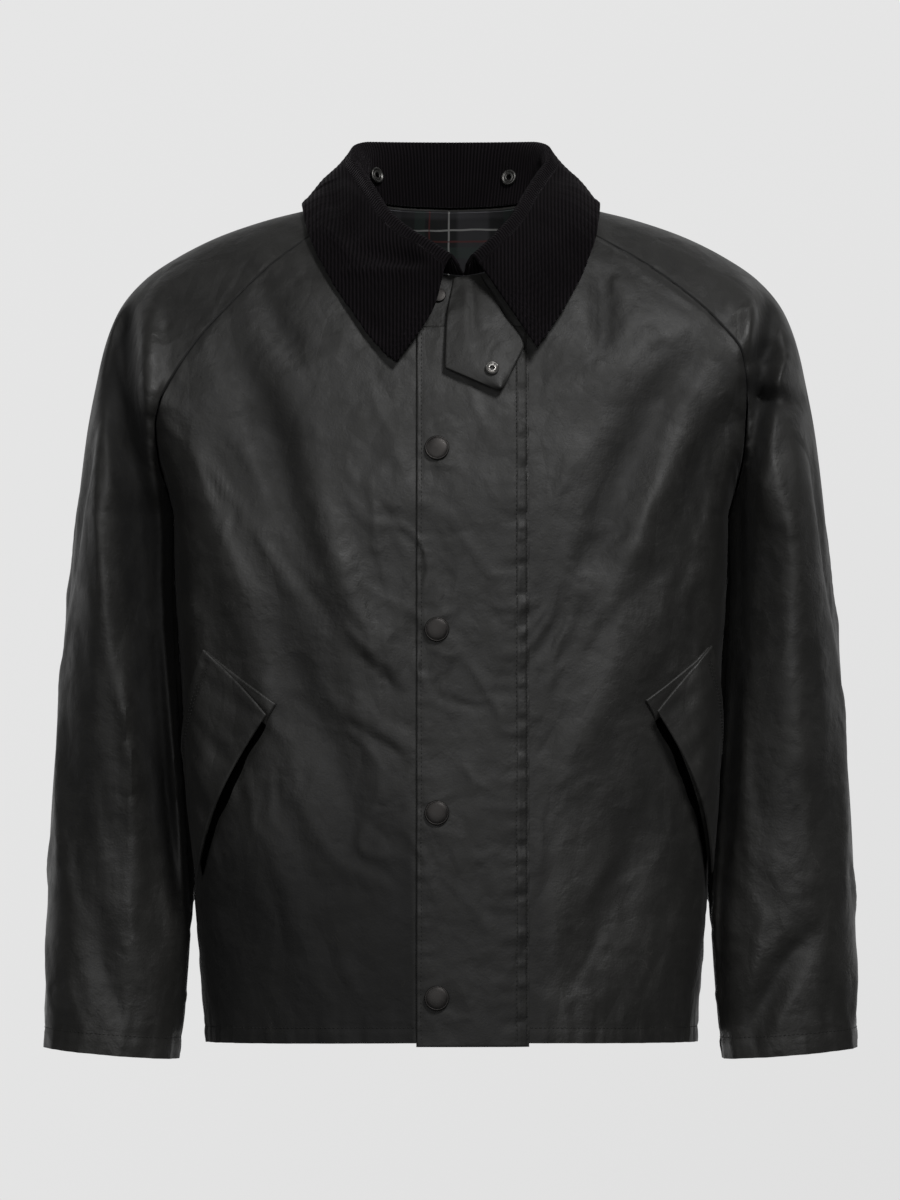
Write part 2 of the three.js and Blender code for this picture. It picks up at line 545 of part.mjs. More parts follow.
// Where a sleeve's line starts, which way it leaves, and the way out of the cloth there.
function seamEnd(side, face, station) {
  const sign = SIGN[side];
  if (station > ARMPIT_STATION) {
    const inner = (column) => read(INNER, "station", column, station);
    const start = v(sign * inner("innerX"), inner("y"), inner("innerZ"));
    const spread = PINCH * Math.max(0, 1 - (station - ARMPIT_STATION) / 4);
    return { start, way: v(spread * sign, FACE_SIGN[face], 0), normal: v(-sign, 0, 0) };
  }
  const row = (column) => read(STATIONS, "station", column, station);
  const z = row(face);
  const edge = panelEdge(face, side, z);
  const fold = row("fold");
  const torso = torsoNormal(face, edgeArc(face, side, z) - sign, z);
  const start = v(sign * edge.x, FACE_SIGN[face] * edge.y, z).addScaledVector(torso, 2 * SEAM_GAP * fold ** 2);
  return { start, way: leave(face, side, z, { lift: row("lift"), fold }), normal: torso, fold };
}
function sleeveLine(side, station) {
  const value = (column) => read(STATIONS, "station", column, station);
  const out = v(SIGN[side] * value("outX"), value("outY"), value("outZ"));
  const ends = { front: seamEnd(side, "front", station), back: seamEnd(side, "back", station) };
  const half = (face) => {
    const first = ends[face].start.clone().addScaledVector(ends[face].way, value("seamPull"));
    const pulled = out.clone().add(v(0, FACE_SIGN[face] * value("outPull"), 0));
    return new THREE.CubicBezierCurve3(ends[face].start, first, pulled, out).getPoints(ROW_STEPS);
  };
  const points = [...half("front"), ...half("back").reverse().slice(1)].map((p) => ({ p, arc: 0 }));
  for (let i = 1; i < points.length; i++)
    points[i].arc = points[i - 1].arc + points[i].p.distanceTo(points[i - 1].p);
  return { points, ends };
}

// The sleeve, in one piece: from the front seam round to the back seam, and below the armpit round the arm.
function sleevePiece(side) {
  const lines = even(STEPS.sleeve.along).map((along) => sleeveLine(side, LAST_STATION * along));
  const grid = lines.map(({ points }) => {
    const length = points[points.length - 1].arc;
    return even(STEPS.sleeve.around).map((around) => {
      const { i, part } = locate(points, "arc", lerp(SEAM_GAP / 2, length - SEAM_GAP / 2, around));
      return points[i].p.clone().lerp(points[i + 1].p, part);
    });
  });
  const axis = (point) => v(point.x - SIGN[side] * 262, point.y, Math.max(point.z + 240, 0));
  const inner = moved(grid, -CLOTH, axis);
  lines.forEach(({ ends }, i) =>
    ["front", "back"].forEach((face, k) => {
      const { normal, fold } = ends[face];
      const j = k * STEPS.sleeve.around;
      const own = grid[i][j].clone().sub(inner[i][j]).normalize();
      const shared = fold === undefined ? own : normal.lerp(own, fold).normalize();
      inner[i][j].copy(grid[i][j]).addScaledVector(shared, -CLOTH);
    }),
  );
  return wall(grid, inner);
}

// The fly lies over both fronts. Its left edge is turned under and sewn down twice, so it is thicker there.
function flyPiece() {
  const arcs = [FLY.rightX, lerp(FLY.rightX, FLY.leftX, 0.45), FLY.leftX - FLY.seam, FLY.leftX];
  const pattern = even(STEPS.fly.up).map((rise) => arcs.map((arc) => ({ arc, z: lerp(FLY.bottomZ, FLY.topZ, rise) })));
  const far = (i, j) => LAYER_GAP + CLOTH + (j > 1 ? FLY.seamRise : 0);
  return onTorso("front", pattern, LAYER_GAP, far);
}

// The pattern of a pocket's welt or flap. It hangs from its outer edge, and its free edge slants down and out
// from the upper corner nearest the fly.
function slanted(side, inset) {
  const tilt = radians(FLAP.tilt);
  const down = { arc: SIGN[side] * Math.sin(tilt), z: -Math.cos(tilt) };
  const outward = { arc: SIGN[side] * Math.cos(tilt), z: Math.sin(tilt) };
  const corner = FLAP_CORNER[side];
  return even(STEPS.flap.along).map((along) =>
    even(STEPS.flap.across).map((across) => {
      const w = inset + (FLAP.width - 2 * inset) * (1 - across);
      const d = inset + (lerp(FLAP.hinge, FLAP.edge, across) - 2 * inset) * along;
      return { arc: corner.arc + down.arc * d + outward.arc * w, z: corner.z + down.z * d + outward.z * w, along, across };
    }),
  );
}
function weltPiece(side) {
  return onTorso("front", slanted(side, WELT_INSET), LAYER_GAP, LAYER_GAP + CLOTH);
}

// The flap stands off the welt at its free edge, and its upper corner sags.
function flapPiece(side) {
  const tilt = radians(FLAP.tilt);
  const pattern = slanted(side, 0).map((row) =>
    row.map((point) => {
      const sag = FLAP.sag * point.across ** 2 * Math.max(0, 1 - 2.2 * point.along);
      return { ...point, arc: point.arc + SIGN[side] * Math.sin(tilt) * sag, z: point.z - Math.cos(tilt) * sag };
    }),
  );
  const lift = (i, j) => {
    const { along, across } = pattern[i][j];
    return 2 * LAYER_GAP + CLOTH + FLAP.edgeLift * across ** 1.5 * (0.55 + 0.45 * Math.cos(Math.PI * (along - 0.2)));
  };
  return onTorso("front", pattern, lift, (i, j) => lift(i, j) + CLOTH);
}

// How far the tab's underside is from the front: it is sewn to it at the neck, climbs over the top of the fly
// and lifts towards its end.
function tabLift(along, across) {
  const overFly = (LAYER_GAP + CLOTH + FLY.seamRise) * THREE.MathUtils.smoothstep(along, 0, 0.4);
  return SEAM_GAP + overFly + TAB.lift * along + TAB.warp * along * Math.sin(Math.PI * across);
}
function tabPattern() {
  const value = (column, along) => {
    const [, , corner, end] = TAB_OUTLINE;
    if (along <= corner.part) return read(TAB_OUTLINE, "part", column, along);
    return lerp(corner[column], end[column], (along - corner.part) / (end.part - corner.part));
  };
  return even(STEPS.tab.along).map((along) =>
    even(STEPS.tab.across).map((across) => ({
      arc: lerp(value("rightX", along), value("leftX", along), across),
      z: lerp(value("rightZ", along), value("leftZ", along), across),
      lift: tabLift(along, across),
    })),
  );
}
function tabPiece() {
  const pattern = tabPattern();
  return onTorso("front", pattern, (i, j) => pattern[i][j].lift, (i, j) => pattern[i][j].lift + CLOTH);
}

// The foot of the collar follows the neckline of the back, the sleeve head and the front.
const FEET = Object.fromEntries(
  SIDES.map((side) => {
    const onNeck = (face) => even(16).map((part) => neckPoint(face, side, part)).map(({ arc, z }) => torsoPoint(face, arc, z));
    const shoulder = sleeveLine(side, 0).points.map(({ p }) => p).reverse();
    const points = [...onNeck("back"), ...shoulder.slice(1, -1), ...onNeck("front").reverse()];
    const path = new THREE.CurvePath();
    for (let i = 1; i < points.length; i++) path.add(new THREE.LineCurve3(points[i - 1], points[i]));
    return [side, path];
  }),
);

// One line across the collar: up the stand from the neck seam, over the roll and down the leaf.
function collarLine(side, along) {
  const value = (column) => read(COLLAR, "along", column, along);
  const sign = SIGN[side];
  const front = THREE.MathUtils.smoothstep(along, 0.7, 1);
  const lift = side === "left" ? COLLAR_POINT.lift * front : 0;
  const drop = -sign * COLLAR_POINT.drop * front;
  const foot = FEET[side].getPointAt(along).add(v(0, 0, SEAM_GAP + CORDUROY / 2));
  const roll = v(sign * value("rollX") + value("rollShift"), value("rollY"), value("rollZ"));
  const edge = v(sign * value("edgeX") + value("edgeShift"), value("edgeY") - lift, value("edgeZ") - drop);
  const away = v(edge.x - roll.x, edge.y - roll.y, 0).normalize();
  const inside = roll.clone().addScaledVector(away, -ROLL.half).add(v(0, 0, -ROLL.drop));
  const outside = roll.clone().addScaledVector(away, ROLL.half).add(v(0, 0, -ROLL.drop * 0.8));
  const bulge = ROLL.bulge * (1 - 0.9 * front);
  const middle = outside.clone().lerp(edge, 0.5).addScaledVector(away, bulge * 0.5).add(v(0, 0, bulge * 0.6));
  const stand = foot.clone().lerp(inside, 0.5);
  return new THREE.CatmullRomCurve3([foot, stand, inside, roll, outside, middle, edge], false, "centripetal");
}
function collarPiece() {
  const stops = even(STEPS.collar.half);
  const lines = [
    ...stops.slice(1).reverse().map((along) => collarLine("right", along)),
    ...stops.map((along) => collarLine("left", along)),
  ];
  const grid = lines.map((line) => STEPS.collar.across.map((stop) => line.getPoint(stop)));
  return wall(moved(grid, CORDUROY / 2), moved(grid, -CORDUROY / 2));
}

// The spot of the collar stand's inner side that shows at x and z, and the direction out of it.
function standSpot(side, x, z) {
  let best = { miss: Infinity };
  for (const along of even(80)) {
    const line = collarLine(side, along * 0.5);
    for (const stop of even(20)) {
      const point = line.getPoint(stop * 0.36);
      const miss = Math.hypot(Math.abs(point.x) - x, point.z - z);
      if (miss < best.miss) best = { miss, point, along: along * 0.5, stop: stop * 0.36 };
    }
  }
  const up = collarLine(side, best.along).getTangent(best.stop);
  const on = collarLine(side, best.along + 0.01).getPoint(best.stop).sub(best.point);
  const normal = on.cross(up).normalize();
  return { point: best.point, normal: normal.y > 0 ? normal.negate() : normal };
}

// A press stud's cap: a low dome on a bevelled rim. It turns about +Y here and is then laid on the cloth.
function capGeometry(radius, height) {
  const { rim, segments } = CAP_STUD;
  const profile = [
    [0, 0],
    [radius - rim, 0],
    [radius, height * 0.4],
    [radius - rim * 0.6, height * 0.8],
    [radius * 0.5, height],
    [0, height],
  ].map(([r, h]) => new THREE.Vector2(r, h));
  return new THREE.LatheGeometry(profile, segments);
}
// A press stud's socket: a ring with a hole through it.
function ringGeometry() {
  const { radius, hole, height, segments } = RING_STUD;
  const profile = [
    [hole, 0],
    [radius, 0],
    [radius, height * 0.6],
    [radius * 0.8, height],
    [hole + 1, height],
    [hole, height * 0.6],
    [hole, 0],
  ].map(([r, h]) => new THREE.Vector2(r, h));
  return new THREE.LatheGeometry(profile, segments);
}

const jacket = new THREE.Group();
jacket.position.y = -NAPE_Y;
function add(name, geometry, material) {
  const mesh = new THREE.Mesh(geometry, material);
  mesh.name = name;
  jacket.add(mesh);
  return mesh;
}
// A stud with its back on the cloth at a point, facing along the normal there.
function addStud(name, geometry, material, point, normal, off) {
  const mesh = add(name, geometry, material);
  mesh.quaternion.setFromUnitVectors(v(0, 1, 0), normal);
  mesh.position.copy(creased(point).addScaledVector(normal, off));
}

for (const side of SIDES) {
  add(`front_${side}`, frontPanel(side), COLOURS.wax);
  add(`sleeve_${side}`, sleevePiece(side), COLOURS.wax);
  add(`pocket_welt_${side}`, weltPiece(side), COLOURS.wax);
  add(`pocket_flap_${side}`, flapPiece(side), COLOURS.wax);
}
add("back", backPanel(), COLOURS.wax);
add("back_lining", liningPanel(), COLOURS.lining);
add("fly", flyPiece(), COLOURS.wax);
add("collar", collarPiece(), COLOURS.corduroy);
add("throat_tab", tabPiece(), COLOURS.wax);

const onFly = LAYER_GAP + CLOTH + STUD_SEAT;
STUD_HEIGHTS.forEach((z, i) => {
  const cap = capGeometry(CAP_STUD.radius, CAP_STUD.height);
  const spot = torsoPoint("front", STUD_ARC, z);
  addStud(`fly_stud_${i + 1}`, cap, COLOURS.cap, spot, torsoNormal("front", STUD_ARC, z), onFly);
});
const neckSpot = torsoPoint("front", NECK_STUD.arc, NECK_STUD.z);
const neckNormal = torsoNormal("front", NECK_STUD.arc, NECK_STUD.z);
addStud("neck_stud", capGeometry(NECK_STUD.radius, 2), COLOURS.cap, neckSpot, neckNormal, STUD_SEAT);

// The tab's stud lies on the tab, which is tilted by its lift.
const tabSurface = (arc, z, along, across) =>
  torsoPoint("front", arc, z).addScaledVector(torsoNormal("front", arc, z), tabLift(along, across) + CLOTH);
const tabSpot = tabSurface(TAB_STUD.arc, TAB_STUD.z, 0.82, 0.7);
const tabAcross = tabSurface(TAB_STUD.arc + 5, TAB_STUD.z + 3, 0.82, 0.8).sub(tabSpot);
const tabAlong = tabSurface(TAB_STUD.arc - 3, TAB_STUD.z + 8, 0.72, 0.7).sub(tabSpot);
const tabNormal = tabAcross.cross(tabAlong).normalize();
addStud("tab_stud", ringGeometry(), COLOURS.ring, tabSpot, tabNormal, 2 * LAYER_GAP);

for (const side of SIDES) {
  const { x, z, seat } = HOOD_STUDS[side];
  const { point, normal } = standSpot(side, x, z);
  addStud(`hood_stud_${side}`, ringGeometry(), COLOURS.ring, point, normal, CORDUROY / 2 + seat);
}

const part = new THREE.Group();
part.add(jacket);

export default part;
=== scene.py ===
# %% [markdown]
# # A waxed cotton jacket
# A jacket is a handful of flat pieces of cloth, each with its own outline, sewn along shared edges. This
# notebook rebuilds one the same way. The solids of the frame give every piece its place, and here each piece is
# cut again with many more points, gets its creases, its seams and its stitches, and takes its material.

# %% Load the frame
import math

import bmesh
import bpy
import numpy as np
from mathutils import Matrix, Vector


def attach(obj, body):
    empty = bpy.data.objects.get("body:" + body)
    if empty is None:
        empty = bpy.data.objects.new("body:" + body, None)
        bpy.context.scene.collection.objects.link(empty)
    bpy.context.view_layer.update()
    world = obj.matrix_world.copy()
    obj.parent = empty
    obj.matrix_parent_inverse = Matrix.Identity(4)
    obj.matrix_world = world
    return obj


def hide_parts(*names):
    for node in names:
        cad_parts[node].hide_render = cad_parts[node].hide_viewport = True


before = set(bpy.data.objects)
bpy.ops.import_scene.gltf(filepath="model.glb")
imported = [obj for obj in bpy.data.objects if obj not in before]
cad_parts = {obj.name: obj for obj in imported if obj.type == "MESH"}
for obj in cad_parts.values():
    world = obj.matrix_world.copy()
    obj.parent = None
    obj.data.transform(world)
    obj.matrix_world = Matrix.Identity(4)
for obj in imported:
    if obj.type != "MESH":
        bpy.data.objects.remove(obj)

for unused in ("Cube", "Camera", "Light"):
    if unused in bpy.data.objects:
        bpy.data.objects.remove(bpy.data.objects[unused])
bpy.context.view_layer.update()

# %% [markdown]
# ## Tables
# The jacket's sizes are short tables, in millimetres. A table holds a few sections or seam points, and a smooth
# curve runs between its rows. A spline could do the same, but a plain spline overshoots between uneven rows,
# and cloth must not bulge where nobody asked for it. The curve here takes the gentler slope at each row, so it
# never passes beyond its neighbours.

# %% Tables and the curve through them
NAPE_Y = 70
CLOTH = 2
SEAM_GAP = 0.5
LAYER_GAP = 0.8
SIDES = {"right": -1, "left": 1}
FACES = {"front": -1, "back": 1}


def table(columns, *rows):
    return dict(zip(columns.split(), np.array(rows, float).T))


def read(rows, key, column, value):
    at, height = rows[key], rows[column]
    if at[0] > at[-1]:
        at, height = at[::-1], height[::-1]
    value = np.clip(value, at[0], at[-1])
    rise = np.diff(height) / np.diff(at)
    slope = np.concatenate((rise[:1], np.zeros(len(at) - 2), rise[-1:]))
    same_way = rise[:-1] * rise[1:] > 0
    pair = np.where(same_way, rise[:-1] + rise[1:], 1)
    slope[1:-1] = np.where(same_way, 2 * rise[:-1] * rise[1:] / pair, 0)
    i = np.clip(np.searchsorted(at, value, side="right") - 1, 0, len(at) - 2)
    span = at[i + 1] - at[i]
    t = (value - at[i]) / span
    ends = (2 * t**3 - 3 * t**2 + 1) * height[i] + (3 * t**2 - 2 * t**3) * height[i + 1]
    return ends + span * ((t**3 - 2 * t**2 + t) * slope[i] + (t**3 - t**2) * slope[i + 1])


print("a curve through 0, 1, 1 at its middle:", float(read(table("a b", (0, 0), (1, 1), (2, 1)), "a", "b", 0.5)))

# %% [markdown]
# ## The body's sizes
# The torso's table gives the depth in front and behind at each height, and how square its section is. The side
# seam and the raglan seams say where one piece of cloth ends and the next begins. On a real jacket these are the
# pattern's edges, so the same tables serve the fronts, the back, the sleeves and the collar.

# %% The torso, its seams and the neckline
TORSO = table(
    "z front back front_square back_square",
    (-690, 150, 142, 2.4, 2.3), (-560, 145, 129, 2.5, 2.4), (-428, 139, 119, 2.7, 2.6),
    (-330, 136, 121, 2.9, 2.8), (-248, 132, 127, 3.1, 3), (-205, 124, 129, 3.1, 3),
    (-160, 113, 128, 3, 2.9), (-112, 98, 123, 2.8, 2.7), (-76, 84, 114, 2.5, 2.4),
    (-52, 72, 105, 2.3, 2.2), (-26, 56, 91, 2.1, 2.1), (-6, 42, 77, 2, 2), (0, 36, 72, 2, 2), (8, 28, 64, 2, 2),
)  # fmt: skip
ARMPIT_Z = -248
SIDE_SEAM = table(
    "z x", (-690, 194), (-646, 197.5), (-608, 200.5), (-568, 203.5), (-516, 206), (-428, 212),
    (-348, 217), (-300, 220), (-248, 221),
)  # fmt: skip
RAGLAN = {
    ("front", "right"): table(
        "z x y", (-248, 221, 0), (-230, 225, 22), (-205, 231, 50), (-180, 233, 72), (-160, 229, 84),
        (-138, 218, 86), (-112, 201, 80), (-76, 169, 66), (-52, 145, 54), (-26, 111, 40), (-6, 82, 26), (8, 60, 18),
    ),
    ("front", "left"): table(
        "z x y", (-248, 221, 0), (-230, 226, 20), (-205, 231, 42), (-180, 233, 60), (-150, 234, 74),
        (-122, 230, 78), (-96, 211, 74), (-76, 190, 67), (-48, 152, 54), (-26, 114, 40), (-6, 82, 26), (8, 60, 18),
    ),
    ("back", "both"): table(
        "z x y", (-248, 221, 0), (-232, 225, 22), (-210, 229, 48), (-185, 228, 74), (-158, 219, 88),
        (-125, 202, 90), (-90, 176, 84), (-56, 146, 74), (-30, 118, 64), (-10, 90, 54), (4, 66, 46), (8, 58, 42),
    ),
}  # fmt: skip
RAGLAN["back", "right"] = RAGLAN["back", "left"] = RAGLAN["back", "both"]
NECK_Z = {"front": -6, "back": 4}
NECKLINE = {
    "front": table(
        "part out z", (0, 0, -61), (0.2, 20, -58), (0.4, 39, -49), (0.6, 56, -36), (0.8, 71, -21), (1, 82, -6)
    ),
    "back": table("part out z", (0, 0, 0), (0.5, 36, 1), (1, 66, 4)),
}
print("torso rows:", len(TORSO["z"]), "raglan rows:", sum(len(r["z"]) for r in RAGLAN.values()))

# %% [markdown]
# ## The torso as a surface
# A tailor thinks of the body in two numbers: how high up, and how far round from the middle. The torso here is
# the same: a point is named by its height and by its distance along the cloth from the centre line. Each height
# has a superellipse section, a circle whose corners can be made squarer. The sections are worked out once, on a
# fine net, and every piece of cloth then looks its points up in that net.

# %% The torso
NET = 2.0
SECTION_STEPS = 161
net_z = np.arange(-696, 14, NET)
net_arc = np.arange(0, 430, NET)
net, net_edge = {}, {}
for face, side in [(f, s) for f in FACES for s in SIDES]:
    places, edges = [], []
    for z in net_z:
        depth = float(read(TORSO, "z", face, z))
        power = float(read(TORSO, "z", face + "_square", z))
        edge_x, edge_y = float(read(SIDE_SEAM, "z", "x", z)), 0.0
        if z > ARMPIT_Z:
            edge_x, edge_y = (float(read(RAGLAN[face, side], "z", axis, z)) for axis in "xy")
        half = edge_x / (1 - (edge_y / depth) ** power) ** (1 / power)
        turn = np.linspace(0, 1, SECTION_STEPS) ** 1.3 * math.pi / 2
        x, y = half * np.sin(turn) ** (2 / power), depth * np.cos(turn) ** (2 / power)
        arc = np.concatenate(([0], np.cumsum(np.hypot(np.diff(x), np.diff(y)))))
        places.append(np.stack([np.interp(net_arc, arc, x), np.interp(net_arc, arc, y)], axis=1))
        edges.append(np.interp(-edge_y, -y, arc))
    net[face, side], net_edge[face, side] = np.array(places), np.array(edges)


def torso(face, arc, z):
    arc, z = np.broadcast_arrays(np.asarray(arc, float), np.asarray(z, float))
    out = np.zeros(arc.shape + (3,))
    for side, sign in SIDES.items():
        here = (arc < 0) == (sign < 0)
        a = np.clip(np.abs(arc[here]) / NET, 0, len(net_arc) - 1.001)
        b = np.clip((z[here] - net_z[0]) / NET, 0, len(net_z) - 1.001)
        i, j = b.astype(int), a.astype(int)
        u, w = (b - i)[:, None], (a - j)[:, None]
        grid = net[face, side]
        low = grid[i, j] * (1 - w) + grid[i, j + 1] * w
        high = grid[i + 1, j] * (1 - w) + grid[i + 1, j + 1] * w
        xy = low * (1 - u) + high * u
        out[here] = np.stack([sign * xy[:, 0], FACES[face] * xy[:, 1], z[here]], axis=1)
    return out


def unit(vectors):
    return vectors / np.maximum(np.linalg.norm(vectors, axis=-1, keepdims=True), 1e-9)


def torso_normal(face, arc, z, reach=3.0):
    across = torso(face, arc + reach, z) - torso(face, arc - reach, z)
    up = torso(face, arc, z + reach) - torso(face, arc, z - reach)
    return -FACES[face] * unit(np.cross(across, up))


def edge_arc(face, side, z):
    return SIDES[side] * np.interp(z, net_z, net_edge[face, side])


def arc_at_x(face, x, z):
    side = "right" if x < 0 else "left"
    row = net[face, side][int(round((z - net_z[0]) / NET))]
    return np.sign(x) * np.interp(abs(x), row[:, 0], net_arc)


print("chest round:", round(2 * sum(net_edge[f, "left"][np.searchsorted(net_z, -260)] for f in FACES)), "mm")

# %% [markdown]
# ## Folds
# Waxed cotton is stiff, so it doesn't ripple: it breaks into long soft ridges and troughs that run from where
# the cloth is held. Each fold is given as a line across the front, the back or the outer side of a
# sleeve, with its own bow, width and height. Simulating the cloth would give folds too, but not these folds, so
# they are drawn. The large folds come first, on the fronts, the back and the sleeves. Each row says from x, z, to
# x, z, bow, half width and height. On the sleeves' outer sides, y takes the place of x.

# %% The large folds
LARGE_FOLDS = {
    "front": [
        (-184, -96, -108, -300, -10, 17, -12), (-214, -150, -126, -400, 10, 20, 10), (-152, -62, -112, -130, 4, 10, -6),
        (-124, -190, -34, -390, 8, 15, 7), (-176, -300, -60, -520, -14, 20, -7), (-190, -440, -96, -640, -8, 22, 6),
        (205, -106, 112, -300, 16, 17, -8), (230, -158, 180, -260, 8, 13, -7), (200, -170, 120, -360, 10, 16, 6),
        (118, -48, 122, -130, 0, 9, -6), (206, -280, 84, -470, 14, 20, 6), (168, -430, 84, -630, -10, 22, -7),
        (-237, -52, -236, -170, 3, 10, 9), (-281, -140, -247, -500, -8, 11, 10), (-262, -110, -236, -330, -4, 12, -12),
        (-246, -300, -228, -600, -4, 13, -8), (-302, -400, -262, -650, 8, 14, -7), (236, -54, 232, -130, -3, 10, 9),
        (228, -128, 276, -114, -3, 7, -6), (226, -146, 280, -162, 3, 9, -11), (226, -176, 270, -270, 5, 12, 9),
        (268, -170, 246, -430, 8, 13, -4), (268, -260, 286, -590, 4, 13, 4), (290, -570, 234, -690, 10, 11, -9),
        (-84, 4, -22, -58, -8, 8, -6), (-212, -168, -200, -640, 0, 19, 15), (-230, -138, -214, -290, 2, 12, 8),
        (210, -230, 199, -640, 0, 17, 11), (-206, -20, -240, -76, 4, 10, 4),
    ],
    "back": [
        (-216, -140, -100, -340, 14, 18, -12), (-196, -110, -60, -290, 10, 20, 8), (214, -150, 110, -360, -14, 18, -12),
        (190, -106, 76, -270, -8, 20, 8), (-30, -300, -84, -620, 10, 24, 8), (-140, -330, -150, -650, -6, 20, -7),
        (56, -360, 100, -650, -8, 22, -8), (-270, -110, -246, -350, -5, 13, -11), (272, -120, 248, -370, 5, 13, -11),
        (-290, -330, -254, -620, 6, 14, 8), (294, -360, 258, -640, -6, 14, 8),
    ],
}  # fmt: skip
SLEEVE_FOLDS = [
    (-60, -150, -20, -330, 6, 12, -5), (40, -170, 10, -380, -6, 13, 5), (-30, -360, -50, -560, 5, 10, 4),
    (10, -420, -20, -640, -5, 11, -4), (-10, -230, 30, -330, 4, 6, 2.2), (-50, -300, -10, -420, 4, 6, 2),
    (20, -330, -6, -450, -3, 5, -2), (-40, -480, 0, -560, 3, 5, 1.8), (-14, -560, -40, -650, 3, 5, 1.6),
]  # fmt: skip
print("large folds:", {face: len(rows) for face, rows in LARGE_FOLDS.items()}, "on a sleeve:", len(SLEEVE_FOLDS))

# %% [markdown]
# ## Small creases
# These are the smaller creases that show from a step away: on the chest, across the fly and down the sleeves.
# Their rows read like the ones above.

